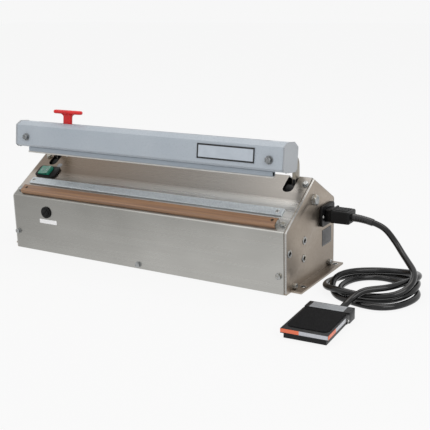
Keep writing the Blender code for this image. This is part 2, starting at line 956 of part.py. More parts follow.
def hexagon(radius):
    return [(radius * math.cos(a), radius * math.sin(a)) for a in np.arange(6) * math.pi / 3]


def lever_path():
    """The lever's middle line at rest: tail, pivot, elbow straight above the pivot, and its
    front end in the arm, a little lower than the arm's bolts."""
    tail = (
        pivot_y - tail_length * math.sin(tail_angle_from_down),
        pivot_height - tail_length * math.cos(tail_angle_from_down),
    )
    start, depth_way, height_way = arm_axes()
    height = arm_bolt_height - lever_drop_from_bolt
    front = arm_point(arm_wall + lever_front_gap + lever_end_inset, height)
    level = start + height_way * height
    elbow = level + depth_way * (pivot_y - level.x) / depth_way.x
    return tail, (pivot_y, pivot_height), elbow, front


def strip_about(path, width, radius):
    """A strip of the given width, half to each side of the path."""
    left = bent_strip(path, width / 2, radius, 1)
    right = bent_strip(path, width / 2, radius, -1)
    count = len(left) // 2
    return left[count:] + right[count:][::-1]


def make_lever(side, looks):
    suffix = "right" if side > 0 else "left"
    name = "lever_" + suffix
    tail, pivot, elbow, front = lever_path()
    low, high = sorted((side * lever_inner_x, side * lever_outer_x))
    outline = strip_about([tail, pivot, elbow, front], lever_width, lever_bend_radius)
    lever = prism(name, outline, low, high, looks["zinc"], along_x())
    smooth(lever)
    hub_low = lever_middle_x - hub_width / 2
    hub_high = lever_middle_x + hub_width / 2
    hub = round_bar(name + "_hub", hub_radius, hub_low, hub_high, place=pivot_place(side))
    block_low = arm_wall + lever_front_gap
    block_outline = arm_box(
        block_low, block_low + lever_block_length,
        arm_bolt_height - lever_block_height / 2, arm_bolt_height + lever_block_height / 2,
    )
    middle = side * arm_bolt_x
    low, high = rectangle_at(middle, lever_block_width)
    block = prism(name + "_block", block_outline, low, high, None, along_x())
    bolt_bore = round_bar(
        name + "_bolt_bore", arm_bolt_radius + seam, -cut_overrun,
        arm_wall + arm_bolt_length, place=arm_face_place(middle, arm_bolt_height),
    )
    join(lever, block)
    cut(lever, bolt_bore)
    join(lever, hub)
    bore = round_bar(
        name + "_bore", hub_bore_radius, hub_low - cut_overrun, hub_high + cut_overrun,
        place=pivot_place(side), steps=fine_round_steps,
    )
    cut(lever, bore)
    bush_inner = shaft_radius + seam
    flange = hub_high + seam
    profile = (
        (bush_inner, hub_low),
        (bush_outer_radius, hub_low),
        (bush_outer_radius, flange),
        (bush_flange_radius, flange),
        (bush_flange_radius, flange + bush_flange_thickness),
        (bush_inner, flange + bush_flange_thickness),
    )
    bush = turned("bush_" + suffix, profile, looks["bronze"], pivot_place(side), fine_round_steps)
    guard = make_guard(side, suffix, looks)
    return [lever, bush, guard]


def arm_box(front, rear, low, high):
    """World outline of a box of the arm, from depths and heights in its own section."""
    return [arm_point(u, v) for u, v in rectangle(front, rear, low, high)]


def arm_face_place(x, height):
    """Outlines up the arm's front face and along X, carried into the arm from the face."""
    start, depth_way, height_way = arm_axes()
    y, z = arm_point(0, height)
    return frame((x, y, z), (0, *height_way), (1, 0, 0))


def make_guard(side, suffix, looks):
    """A curved black shield round the pivot, in front of the lever, as wide as the slot."""
    outline = []
    steps = round_steps // 2
    for radius, order in ((guard_outer_radius, 1), (guard_outer_radius - guard_thickness, -1)):
        arc = []
        for step in range(steps + 1):
            angle = guard_start_angle + (guard_end_angle - guard_start_angle) * step / steps
            arc.append((pivot_y + radius * math.cos(angle), pivot_height + radius * math.sin(angle)))
        outline += arc[::order]
    low, high = rectangle_at(side * slot_centre_x, guard_width)
    guard = prism("slot_guard_" + suffix, outline, low, high, looks["black_plastic"], along_x())
    return smooth(guard)


def make_tie_bar(looks):
    (tail_y, tail_z), pivot, elbow, front = lever_path()
    half = lever_inner_x - seam
    place = frame((0, tail_y, tail_z), (0, 1, 0), (0, 0, 1))
    bar = round_bar("tie_bar", tie_bar_radius, -half, half, looks["zinc"], place)
    closed_y, closed_z = turn_about_pivot(tail_y, tail_z, arm_opening_angle)
    front_face = closed_y + tie_bar_radius + seam
    low = closed_z - armature_height / 2
    corners = rectangle(front_face, front_face + armature_thickness, low, low + armature_height)
    outline = [turn_about_pivot(y, z, -arm_opening_angle) for y, z in corners]
    half = armature_length / 2
    plate = prism("armature", outline, -half, half, looks["dark_steel"], along_x())
    hub = round_bar(
        "armature_hub", armature_hub_radius, -armature_hub_length / 2, armature_hub_length / 2,
        place=place,
    )
    bore = round_bar("armature_bore", tie_bar_radius + seam, -half, half, place=place)
    join(plate, hub)
    cut(plate, bore)
    return [bar, plate], front_face + armature_thickness, closed_z


def make_magnet(face_y, middle_z, looks):
    """An E-shaped core on a stand, whose three poles meet the armature when the arm closes."""
    pole_y = face_y + magnet_air_gap
    back_y = pole_y + magnet_depth - magnet_back_depth
    coil_room = coil_wall + seam * 2
    half = magnet_core_length / 2
    leg_in = half + coil_room
    leg_out = leg_in + magnet_leg_length
    low = middle_z - magnet_height / 2
    high = middle_z + magnet_height / 2
    rear = pole_y + magnet_depth
    outline = [
        (-leg_out, pole_y), (-leg_in, pole_y), (-leg_in, back_y), (-half, back_y),
        (-half, pole_y), (half, pole_y), (half, back_y), (leg_in, back_y),
        (leg_in, pole_y), (leg_out, pole_y), (leg_out, rear), (-leg_out, rear),
    ]
    prism("magnet_core", outline, low, high, looks["dark_steel"])
    coil_front = pole_y + coil_end_gap
    coil_rear = back_y - seam
    place = frame((0, 0, middle_z), (1, 0, 0), (0, 0, 1))
    outer_half = half + coil_wall
    outer_up = magnet_height / 2 + coil_wall
    winding = rounded_rectangle(-outer_half, outer_half, -outer_up, outer_up, coil_wall / 2)
    coil = prism("magnet_coil", winding, -coil_rear, -coil_front, looks["winding"], place)
    room_up = magnet_height / 2 + seam
    room = rectangle(-half - seam, half + seam, -room_up, room_up)
    cut(coil, prism("coil_room", room, -coil_rear - cut_overrun, -coil_front + cut_overrun, place=place))
    smooth(coil)
    stand_top = low - seam
    foot_top = base_sheet + seam
    stand_low = rear - stand_depth
    wall = leg_out
    outline = stand_outline(wall, foot_top, stand_top)
    stand = prism("magnet_stand", outline, -rear, -stand_low, looks["galvanised"],
                  frame((0, 0, 0), (1, 0, 0), (0, 0, 1)))
    gap = rectangle(-outer_half - seam, outer_half + seam, coil_front - cut_overrun, coil_rear + seam)
    cut(stand, prism("stand_gap", gap, stand_top - coil_wall, stand_top + cut_overrun))


def stand_outline(wall, foot, top):
    """A hat section: two feet, two uprights and a top plate."""
    inner = wall - stand_sheet
    out = wall + stand_foot
    lift = foot + stand_sheet
    return [
        (-out, foot), (-inner, foot), (-inner, top - stand_sheet), (inner, top - stand_sheet),
        (inner, foot), (out, foot), (out, lift), (wall, lift), (wall, top), (-wall, top),
        (-wall, lift), (-out, lift),
    ]


def panel_box(front, rear, low, high):
    """World outline of a box on the sloped panel, from places along and above it."""
    return [panel_point(u, v) for u, v in rectangle(front, rear, low, high)]


def round_topped(left, right, low, high, radius):
    """A rectangle with its two corners at high rounded. high may lie below low."""
    outline = [(left, low), (right, low)]
    way = 1 if high > low else -1
    for middle, start in ((right - radius, 0), (left + radius, math.pi / 2)):
        for step in range(bend_steps + 1):
            angle = start + math.pi / 2 * step / bend_steps
            reach = radius * (math.sin(angle) - 1)
            outline.append((middle + radius * math.cos(angle), high + way * reach))
    return outline


def make_sealing_bar(looks):
    """The bar with its heating band, end clamps and tape cover, and the film rest behind."""
    rear = bar_front + bar_depth
    half = bar_half_length - clamp_length
    section = round_topped(bar_front, rear, seam, bar_top, bar_edge_radius)
    outline = [panel_point(u, v) for u, v in section]
    smooth(prism("sealing_bar", outline, -half, half, looks["aluminium"], along_x()))
    for side, name in ((-1, "band_clamp_left"), (1, "band_clamp_right")):
        low, high = sorted((side * (half + seam), side * bar_half_length))
        smooth(prism(name, outline, low, high, looks["zinc"], along_x()))
    middle = bar_front + bar_depth / 2
    low, high = rectangle_at(middle, band_width)
    half = bar_half_length
    band = panel_box(low, high, band_base, band_base + band_thickness)
    prism("heating_band", band, -half, half, looks["bright_steel"], along_x())
    side_gap = seam * 2
    tape_path = [
        (bar_front - side_gap, seam), (bar_front - side_gap, tape_base),
        (rear + side_gap, tape_base), (rear + side_gap, seam),
    ]
    strip = bent_strip(tape_path, tape_thickness, bar_edge_radius, 1)
    outline = [panel_point(u, v) for u, v in strip]
    smooth(prism("tape_cover", outline, -half, half, looks["ptfe"], along_x()))
    rest = panel_box(rest_front, rest_front + rest_depth, seam, seam + rest_thickness)
    prism("film_rest", rest, -rest_half_length, rest_half_length, looks["galvanised"], along_x())


def arm_section():
    """The arm's outer corners: front face up, over the top, and down the rear."""
    return [
        (arm_lip_run, -arm_lip_drop),
        (0, 0),
        (0, arm_front_height),
        (arm_top_front, arm_height),
        (arm_depth - arm_top_rear, arm_height),
        (arm_depth, arm_rear_height),
        (arm_depth, 0),
        (arm_depth - arm_lip_run, -arm_lip_drop),
    ]


def make_arm(looks):
    outer = arm_section()
    inner = inset_outline(outer, [arm_wall] * len(outer))
    floor = -arm_lip_drop
    ledge_top = arm_ledge_height + arm_ledge_thickness
    front_ledge = arm_wall + arm_ledge_reach
    rear_ledge = arm_depth - front_ledge
    rear_wall = arm_depth - arm_wall
    section = [
        (arm_front_lip_reach, floor),
        *outer,
        (arm_depth - arm_lip_run, floor + arm_wall),
        (rear_wall, inner[6][1]),
        (rear_wall, arm_ledge_height),
        (rear_ledge, arm_ledge_height),
        (rear_ledge, ledge_top),
        (rear_wall, ledge_top),
        inner[5],
        inner[4],
        inner[3],
        inner[2],
        (arm_wall, ledge_top),
        (front_ledge, ledge_top),
        (front_ledge, arm_ledge_height),
        (arm_wall, arm_ledge_height),
        inner[1],
        inner[0],
        (arm_front_lip_reach, floor + arm_wall),
    ]
    outline = [arm_point(u, v) for u, v in section]
    half = arm_half_length - cap_thickness - seam
    arm = prism("arm_profile", outline, -half, half, looks["arm_paint"], along_x())
    slot_half = cutter_slot_half_length
    low, high = rectangle_at(cutter_centre, cutter_slot_width)
    slot = arm_box(low, high, arm_height - arm_wall * 2, arm_height + cut_overrun)
    cut(arm, prism("cutter_slot", slot, -slot_half, slot_half, None, along_x()))
    for side in (-1, 1):
        middle = side * lever_middle_x
        low, high = rectangle_at(middle, arm_notch_width)
        notch = arm_box(
            arm_depth - arm_wall - arm_lip_run - seam, arm_depth + cut_overrun,
            -arm_lip_drop - cut_overrun, arm_notch_height,
        )
        cut(arm, prism("lever_gate", notch, low, high, None, along_x()))
        place = arm_face_place(side * arm_bolt_x, arm_bolt_height)
        hole = round_bar("arm_bolt_hole", arm_bolt_radius + seam, -cut_overrun, arm_wall * 2, place=place)
        cut(arm, hole)
    pieces = [arm]
    cap_outline = [arm_point(u, v) for u, v in outer]
    for side, name in ((-1, "arm_cap_left"), (1, "arm_cap_right")):
        low, high = sorted((side * (arm_half_length - cap_thickness), side * arm_half_length))
        pieces.append(prism(name, cap_outline, low, high, looks["cap_paint"], along_x()))
    for side, name in ((-1, "arm_bolt_left"), (1, "arm_bolt_right")):
        place = arm_face_place(side * arm_bolt_x, arm_bolt_height)
        seat = -seam
        profile = (
            (0, arm_bolt_length),
            (0, seat - arm_washer_thickness),
            (arm_washer_radius, seat - arm_washer_thickness),
            (arm_washer_radius, seat),
            (arm_bolt_radius, seat),
            (arm_bolt_radius, arm_bolt_length),
        )
        bolt = turned(name, profile, looks["zinc"], place)
        low = seat - arm_washer_thickness - arm_bolt_head_height
        high = seat - arm_washer_thickness / 2
        head = prism(name + "_head", hexagon(arm_bolt_head_radius), low, high, place=place)
        pieces.append(join(bolt, head))
    pieces += make_press(looks)
    plate = arm_box(-seam - name_plate_thickness, -seam, name_plate_base,
                    name_plate_base + name_plate_height)
    right = cover_half - name_plate_from_end
    left = right - name_plate_length
    pieces.append(prism("name_plate", plate, left, right, looks["label"], along_x()))
    return pieces


def make_press(looks):
    """The pressure bar under the arm's front lip, with its silicone strip."""
    top = -arm_lip_drop - seam
    low = top - press_height
    front = press_centre - press_depth / 2
    rear = press_centre + press_depth / 2
    section = round_topped(front, rear, top, low, press_edge_radius)
    outline = [arm_point(u, v) for u, v in section]
    half = press_half_length
    bar = smooth(prism("pressure_bar", outline, -half, half, looks["arm_paint"], along_x()))
    middle = press_centre
    groove_half = silicone_depth / 2 + seam
    groove = arm_box(middle - groove_half, middle + groove_half, low - cut_overrun,
                     low + silicone_inset + seam)
    cut(bar, prism("silicone_groove", groove, -half - cut_overrun, half + cut_overrun, None, along_x()))
    strip = arm_box(middle - silicone_depth / 2, middle + silicone_depth / 2,
                    low + silicone_inset - silicone_height, low + silicone_inset)
    return [bar, prism("silicone_strip", strip, -half, half, looks["silicone"], along_x())]


def make_cutter(looks):
    """The carriage that rides on the arm's ledges, its blade, and the handle above."""
    plate_low = arm_ledge_height + arm_ledge_thickness + seam
    plate_high = plate_low + carriage_plate_thickness
    neck_top = arm_height - arm_wall - seam
    side_gap = arm_wall + seam * 2
    half_neck = carriage_neck_depth / 2
    half_leg = carriage_leg_depth / 2
    leg_low = -carriage_leg_reach
    middle = cutter_centre
    section = [
        (side_gap, plate_low), (middle - half_leg, plate_low), (middle - half_leg, leg_low),
        (middle + half_leg, leg_low), (middle + half_leg, plate_low),
        (arm_depth - side_gap, plate_low), (arm_depth - side_gap, plate_high),
        (middle + half_neck, plate_high), (middle + half_neck, neck_top),
        (middle - half_neck, neck_top), (middle - half_neck, plate_high), (side_gap, plate_high),
    ]
    outline = [arm_point(u, v) for u, v in section]
    low, high = rectangle_at(cutter_x, carriage_half_length * 2)
    carriage = prism("cutter_carriage", outline, low, high, looks["black_plastic"], along_x())
    blade_low = leg_low - blade_reach
    blade_high = leg_low + blade_grip
    half = blade_thickness / 2
    slit = arm_box(middle - half - seam, middle + half + seam, leg_low - cut_overrun, blade_high + seam)
    low, high = rectangle_at(cutter_x, carriage_half_length * 2 + cut_overrun)
    cut(carriage, prism("blade_slit", slit, low, high, None, along_x()))
    base_y, base_z = arm_point(middle, 0)
    up_y, up_z = arm_point(middle, arm_height)
    place = frame((cutter_x, base_y, base_z), (1, 0, 0), (0, up_y - base_y, up_z - base_z))
    blade_outline = [
        (-blade_half_length, blade_high), (blade_half_length, blade_high),
        (blade_half_length, blade_low + blade_grip), (0, blade_low),
        (-blade_half_length, blade_low + blade_grip),
    ]
    blade = prism("cutter_blade", blade_outline, -half, half, looks["bright_steel"], place)
    handle = make_handle(place, neck_top, looks)
    return [carriage, blade, handle]


def make_handle(place, foot, looks):
    """A T-shaped handle: a flat stem through the arm's slot, flaring into a round-ended grip."""
    top = arm_height + handle_height
    grip_low = top - handle_grip_thickness
    stem = handle_stem_length / 2
    flare = handle_flare_length / 2
    half = handle_stem_depth / 2
    outline = [(-stem, foot + seam), (stem, foot + seam), (stem, grip_low - handle_flare_height)]
    steps = bend_steps
    for step in range(1, steps + 1):
        angle = math.pi / 2 * step / steps
        wide = stem + (flare - stem) * (1 - math.cos(angle))
        outline.append((wide, grip_low - handle_flare_height * (1 - math.sin(angle))))
    outline.append((flare, grip_low + handle_grip_thickness / 2))
    mirrored = [(-u, v) for u, v in outline[2:]]
    shape = outline + mirrored[::-1]
    handle = prism("cutter_handle", shape, -half, half, looks["red"], place)
    ends = handle_grip_length / 2
    bulge = handle_grip_depth / 2
    plan = rounded_rectangle(-ends, ends, -bulge, bulge, bulge - seam)
    grip_place = place @ frame((0, 0, 0), (1, 0, 0), (0, 0, -1))
    grip = prism("handle_grip", plan, grip_low, top, place=grip_place)
    round_edges(grip, handle_round_radius)
    join(handle, grip)
    return smooth(handle)


def make_switch(looks):
    left = -cover_half + switch_left
    place = on_panel(left, switch_low)
    outline = rounded_rectangle(0, switch_length, 0, switch_depth, switch_corner_radius)
    bezel = prism("switch_bezel", outline, seam, seam + switch_thickness, looks["black_plastic"], place)
    inset = switch_body_inset
    body = rectangle(inset, switch_length - inset, inset, switch_depth - inset)
    join(bezel, prism("switch_body", body, -switch_body_drop, switch_thickness / 2, place=place))
    middle_x = rocker_left + rocker_length / 2
    middle = switch_depth / 2
    room_x = rocker_length / 2 + rocker_clearance
    room_y = rocker_depth / 2 + seam
    floor = rocker_axis_height - rocker_drop - rocker_length * math.sin(rocker_tilt) / 2 - seam
    room = rectangle(middle_x - room_x, middle_x + room_x, middle - room_y, middle + room_y)
    cut(bezel, prism("rocker_room", room, floor, switch_thickness * 2, place=place))
    half = rocker_length / 2
    top = rocker_height
    outline = [
        (-half, 0), (-half, -rocker_drop / 2), (-half / 2, -rocker_drop),
        (half / 2, -rocker_drop), (half, -rocker_drop / 2), (half, 0),
        (half - rocker_clearance, top - rocker_clearance), (0, top - rocker_clearance * 2),
        (-half + rocker_clearance, top - rocker_clearance),
    ]
    axis_place = place @ Matrix.Translation((middle_x, middle, rocker_axis_height))
    turned_place = axis_place @ frame((0, 0, 0), (1, 0, 0), (0, 0, 1)) @ Matrix.Rotation(rocker_tilt, 4, "Z")
    width = rocker_depth / 2
    rocker = prism("switch_rocker", outline, -width, width, looks["green"], turned_place)
    carry([rocker], "rocker_axis", axis_place)
    return axis_place


def make_fuse(looks):
    place = on_front(fuse_x, fuse_height)
    bore = fuse_cap_radius + seam
    flange_top = seam + fuse_flange_thickness
    floor = flange_top - fuse_cap_depth
    profile = (
        (0, -fuse_body_length),
        (fuse_body_radius, -fuse_body_length),
        (fuse_body_radius, seam),
        (fuse_flange_radius, seam),
        (fuse_flange_radius, flange_top),
        (bore, flange_top),
        (bore, floor - seam),
        (0, floor - seam),
    )
    turned("fuse_holder", profile, looks["black_plastic"], place)
    top = flange_top + fuse_cap_proud
    cap = round_bar("fuse_cap", fuse_cap_radius, floor, top, looks["black_plastic"], place)
    half = fuse_slot_width / 2
    reach = fuse_cap_radius * 2
    slot_place = place @ Matrix.Rotation(math.radians(-45), 4, "Z")
    slot = prism("fuse_slot", rectangle(-half, half, -reach, reach), top - fuse_slot_depth,
                 top + cut_overrun, place=slot_place)
    cut(cap, slot)
    carry([cap], "fuse_cap_axis", place)


def make_socket(looks):
    place = socket_place()
    half_length = socket_flange_length / 2
    half_height = socket_flange_height / 2
    plan = rounded_rectangle(-half_length, half_length, -half_height, half_height, socket_corner_radius)
    flange_top = seam + socket_flange_thickness
    socket = prism("pedal_socket", plan, seam, flange_top, looks["black_plastic"], place)
    body_length = socket_body_length / 2
    body_height = socket_body_height / 2
    body = rectangle(-body_length, body_length, -body_height, body_height)
    join(socket, prism("socket_body", body, -socket_body_depth, seam * 2, place=place))
    room = socket_recess_length / 2
    room_height = socket_recess_height / 2
    recess = rectangle(-room, room, -room_height, room_height)
    floor = flange_top - socket_recess_depth
    cut(socket, prism("socket_recess", recess, floor, flange_top + cut_overrun, place=place))
    start = flange_top + seam
    plug_end = start + plug_length
    side = plan_box(plug_width, plug_height)
    plug = prism("plug", side, start, plug_end - plug_taper_length, looks["cord_rubber"], place)
    taper = tapered_block(
        "plug_taper", (plug_width, plug_height), (plug_end_width, plug_end_height),
        plug_end - plug_taper_length - seam, plug_end, plug_end_rise, place,
    )
    room = socket_recess_length - seam * 2
    room_height = socket_recess_height - seam * 2
    nose = prism("plug_nose", plan_box(room, room_height), floor + seam, start + seam, place=place)
    join(plug, taper, nose)
    relief_start = Matrix.Translation((0, relief_rise, plug_end + seam))
    lean = relief_start @ Matrix.Rotation(relief_droop, 4, "X")
    relief_place = place @ lean
    tip = relief_length
    root = relief_root_radius * math.tan(relief_droop) + seam
    profile = (
        (0, root),
        (relief_root_radius, root),
        (relief_root_radius, root + relief_root_radius / 2),
        (relief_tip_radius, tip),
        (0, tip),
    )
    turned("strain_relief", profile, looks["cord_rubber"], relief_place)
    return relief_place @ Vector((0, 0, tip)), relief_place.to_3x3() @ Vector((0, 0, 1))


def plan_box(length, height):
    return rectangle(-length / 2, length / 2, -height / 2, height / 2)


def tapered_block(name, wide, narrow, low, high, rise, place):
    """A block whose section shrinks from wide at low to narrow at high, and rises there."""
    shape = bmesh.new()
    rings = []
    for (length, height), level, lift in ((wide, low, 0), (narrow, high, rise)):
        rings.append([shape.verts.new((u, v + lift, level)) for u, v in plan_box(length, height)])
    shape.faces.new(rings[0])
    shape.faces.new(rings[1])
    for index in range(4):
        after = (index + 1) % 4
        shape.faces.new((rings[0][index], rings[0][after], rings[1][after], rings[1][index]))
    return new_object(name, finished_mesh(name, shape), None, place)


def make_mains_inlet(looks):
    place = on_rear(inlet_x, inlet_height)
    plan = plan_box(inlet_flange_length, inlet_flange_height)
    right, top = plan[2]
    plan = rounded_rectangle(-right, right, -top, top, inlet_corner_radius)
    flange_top = seam + inlet_flange_thickness
    inlet = prism("mains_inlet", plan, seam, flange_top, looks["black_plastic"], place)
    body = plan_box(inlet_body_length, inlet_body_height)
    join(inlet, prism("inlet_body", body, -inlet_body_depth, seam * 2, place=place))
    recess = plan_box(inlet_recess_length, inlet_recess_height)
    floor = flange_top - inlet_recess_depth
    cut(inlet, prism("inlet_recess", recess, floor, flange_top + cut_overrun, place=place))
    for step in (-1, 0, 1):
        rise = inlet_pin_offset if step == 0 else -inlet_pin_offset
        low, high = rectangle_at(step * inlet_pin_pitch, inlet_pin_thickness)
        bottom, top = rectangle_at(rise, inlet_pin_height)
        pin = rectangle(low, high, bottom, top)
        join(inlet, prism("inlet_pin", pin, floor - seam, floor + inlet_pin_length, place=place))


def make_inside(looks):
    """Transformer, control board and terminal block on the base tray."""
    floor = base_sheet + seam
    x = transformer_x
    y = front_y + transformer_setback
    half = transformer_length / 2
    low, high = rectangle_at(y, transformer_depth)
    top = lever_path()[0][1] - transformer_room_under_bar
    lug = half + transformer_lug_length
    section = [
        (x - lug, floor), (x + lug, floor), (x + lug, floor + transformer_lug_thickness),
        (x + half, floor + transformer_lug_thickness), (x + half, top), (x - half, top),
        (x - half, floor + transformer_lug_thickness), (x - lug, floor + transformer_lug_thickness),
    ]
    upright = frame((0, 0, 0), (1, 0, 0), (0, 0, 1))
    core = prism("transformer_core", section, -high, -low, looks["dark_steel"], upright)
    win_low, win_high = rectangle_at(x, winding_length)
    base = floor + winding_base
    win_top = top - winding_base
    window = rectangle(win_low - seam, win_high + seam, base - seam, win_top + seam)
    cut(core, prism("core_window", window, -high - cut_overrun, -low + cut_overrun, place=upright))
    coil = rounded_rectangle(win_low, win_high, base, win_top, winding_base / 2)
    prism("transformer_coil", coil, -high - winding_overhang, -low + winding_overhang,
          looks["winding"], upright)
    make_board(floor, looks)
    x = terminal_from_end - cover_half
    y = front_y + terminal_setback
    low, high = rectangle_at(y, terminal_depth)
    section = [
        (low, floor), (high, floor), (high, floor + terminal_height - terminal_step),
        (high - terminal_step, floor + terminal_height - terminal_step),
        (high - terminal_step, floor + terminal_height),
        (low + terminal_step, floor + terminal_height),
        (low + terminal_step, floor + terminal_height - terminal_step),
        (low, floor + terminal_height - terminal_step),
    ]
    left, right = rectangle_at(x, terminal_length)
    prism("terminal_block", section, left, right, looks["white_plastic"], along_x())


def make_board(floor, looks):
    """The control board: a plate on four posts, with its relay, trimmer and heat sink."""
    x = board_x
    y = front_y + board_setback
    half_x = board_length / 2
    half_y = board_depth / 2
    low = floor + board_lift
    plan = rectangle(x - half_x, x + half_x, y - half_y, y + half_y)
    board = prism("control_board", plan, low, low + board_thickness, looks["board"])
    for across in (-1, 1):
        for along in (-1, 1):
            place = Matrix.Translation(
                (x + across * (half_x - board_post_inset), y + along * (half_y - board_post_inset), 0)
            )
            join(board, round_bar("board_post", board_post_radius, floor, low + seam, place=place))
    for share_x, share_y, long_share, deep_share in board_part_shares:
        part = plan_box(long_share * board_length, deep_share * board_depth)
        place = Matrix.Translation((x + share_x * board_length, y + share_y * board_depth, 0))
        high = low + board_part_height
        join(board, prism("board_part", part, low + board_thickness / 2, high, place=place))


def spring_points(start, end, radius, curls):
    """Points of a coil spring whose middle line runs from start to end."""
    start = Vector(start)
    whole = Vector(end) - start
    along = whole.normalized()
    across = along.orthogonal().normalized()
    other = along.cross(across)
    count = curls * spring_points_per_curl
    path = []
    for step in range(count + 1):
        angle = 2 * math.pi * step / spring_points_per_curl
        outwards = across * math.cos(angle) + other * math.sin(angle)
        path.append(tuple(start + whole * step / count + outwards * radius))
    return path


def make_springs(looks):
    (tail_y, tail_z), pivot, elbow, front = lever_path()
    seat = spring_wire_radius + seam
    bar_side = tail_y + tie_bar_radius + seat
    post_side = rear_y - spring_post_from_rear - seat
    for side, name in ((-1, "return_spring_left"), (1, "return_spring_right")):
        x = side * spring_x
        points = spring_points(
            (x, bar_side, tail_z), (x, post_side, tail_z), spring_coil_radius, spring_curls
        )
        wire_object(name, points, spring_wire_radius, coil_sides, looks["bright_steel"])


def pedal_place():
    """The pedal's own frame: X across it, Y towards its rear, Z up from the floor."""
    return Matrix.Translation((pedal_x, pedal_y, 0)) @ Matrix.Rotation(pedal_turn, 4, "Z")


def make_pedal(looks):
    place = pedal_place()
    half_width = pedal_width / 2
    half_length = pedal_length / 2
    base_half = half_width - pedal_base_inset
    housing_front = half_length - pedal_housing_length
    base_front = -half_length + pedal_base_inset
    base = prism(
        "pedal_base", rectangle(-base_half, base_half, base_front, housing_front + seam),
        0, pedal_base_height, looks["pedal_black"], place,
    )
    wall = pedal_base_wall
    hollow = rectangle(-base_half + wall, base_half - wall, base_front + wall, housing_front - wall)
    cut(base, prism("pedal_hollow", hollow, pedal_base_floor, pedal_base_height * 2, place=place))
    housing_plan = rounded_rectangle(
        -half_width, half_width, housing_front, half_length, pedal_corner_radius
    )
    join(base, prism("pedal_housing", housing_plan, 0, pedal_housing_height, place=place))
    pin_y = half_length - pedal_pin_from_rear
    for side in (-1, 1):
        low, high = sorted((side * (base_half - pedal_lug_width), side * base_half))
        lug_low, lug_high = rectangle_at(pin_y, pedal_lug_length)
        lug = rectangle(low, high, lug_low, lug_high)
        top = pedal_pin_height + pedal_lug_length / 3
        join(base, prism("pedal_lug", lug, pedal_base_floor / 2, top, place=place))
    across = place @ frame((0, pin_y, pedal_pin_height), (0, 1, 0), (0, 0, 1))
    hole = round_bar("pin_hole", pedal_pin_radius + seam, -half_width, half_width, place=across)
    cut(base, hole)
    pin_half = half_width + pedal_pin_proud
    round_bar("pedal_pin", pedal_pin_radius, -pin_half, pin_half, looks["bright_steel"], across)
    treadle = make_treadle(place, across, housing_front, looks)
    margin = pedal_pad_margin
    pad_plan = rounded_rectangle(
        -half_width + margin, half_width - margin, -half_length + margin,
        housing_front - margin, margin,
    )
    pad_low = pedal_treadle_top + seam
    pad = prism("pedal_pad", pad_plan, pad_low, pad_low + pedal_pad_thickness,
                looks["pedal_rubber"], place)
    carry([treadle, pad], "treadle_axis", across)
    make_pedal_inside(place, looks)


def make_treadle(place, across, housing_front, looks):
    half_width = pedal_width / 2
    half_length = pedal_length / 2
    rear = housing_front - seam * 2
    plan = rectangle(-half_width, half_width, -half_length, rear)
    treadle = prism("pedal_treadle", plan, pedal_skirt_bottom, pedal_treadle_top,
                    looks["pedal_black"], place)
    wall = pedal_skirt_sheet
    room = rectangle(-half_width + wall, half_width - wall, -half_length + wall, rear + cut_overrun)
    roof = pedal_treadle_top - pedal_treadle_sheet
    cut(treadle, prism("treadle_room", room, -cut_overrun, roof, place=place))
    for side in (-1, 1):
        low, high = sorted((side * half_width, side * (half_width - wall)))
        ear = rectangle(low, high, rear - pedal_ear_length, rear)
        join(treadle, prism("treadle_ear", ear, pedal_ear_bottom, roof, place=place))
    hole = round_bar("ear_hole", pedal_pin_radius + seam, -half_width * 2, half_width * 2, place=across)
    cut(treadle, hole)
    return treadle


def make_pedal_inside(place, looks):
    floor = pedal_base_floor + seam
    half_x = pedal_switch_length / 2
    low, high = rectangle_at(pedal_switch_y, pedal_switch_width)
    switch = prism("pedal_microswitch", rectangle(-half_x, half_x, low, high), floor,
                   floor + pedal_switch_height, looks["black_plastic"], place)
    button_place = place @ Matrix.Translation((half_x / 2, pedal_switch_y, 0))
    top = floor + pedal_switch_height
    join(switch, round_bar("switch_button", pedal_button_radius, top - seam,
                           top + pedal_button_height, place=button_place))
    roof = pedal_treadle_top - pedal_treadle_sheet
    wire = pedal_spring_wire_radius
    low = place @ Vector((0, pedal_spring_y, floor + wire))
    high = place @ Vector((0, pedal_spring_y, roof - seam - wire))
    points = spring_points(low, high, pedal_spring_radius, pedal_spring_curls)
    wire_object("pedal_spring", points, wire, coil_sides, looks["bright_steel"])


def coil_points():
    """The loose coil, clockwise seen from above: a smooth line through its marks, with about
    44 points to a turn."""
    return curve_through(coil_route, coil_points_per_mark)


def least_gap(points, radius, skip):
    """The least space between stretches of a tube that are skip or more points apart."""
    starts = points[:-1]
    best = math.inf
    for share in np.linspace(0, 1, 5):
        here = starts + share * np.diff(points, axis=0)
        apart = np.linalg.norm(here[:, None] - points[None], axis=2)
        far = np.abs(np.arange(len(here))[:, None] - np.arange(len(points))[None]) >= skip
        best = min(best, apart[far].min())
    return best - 2 * radius


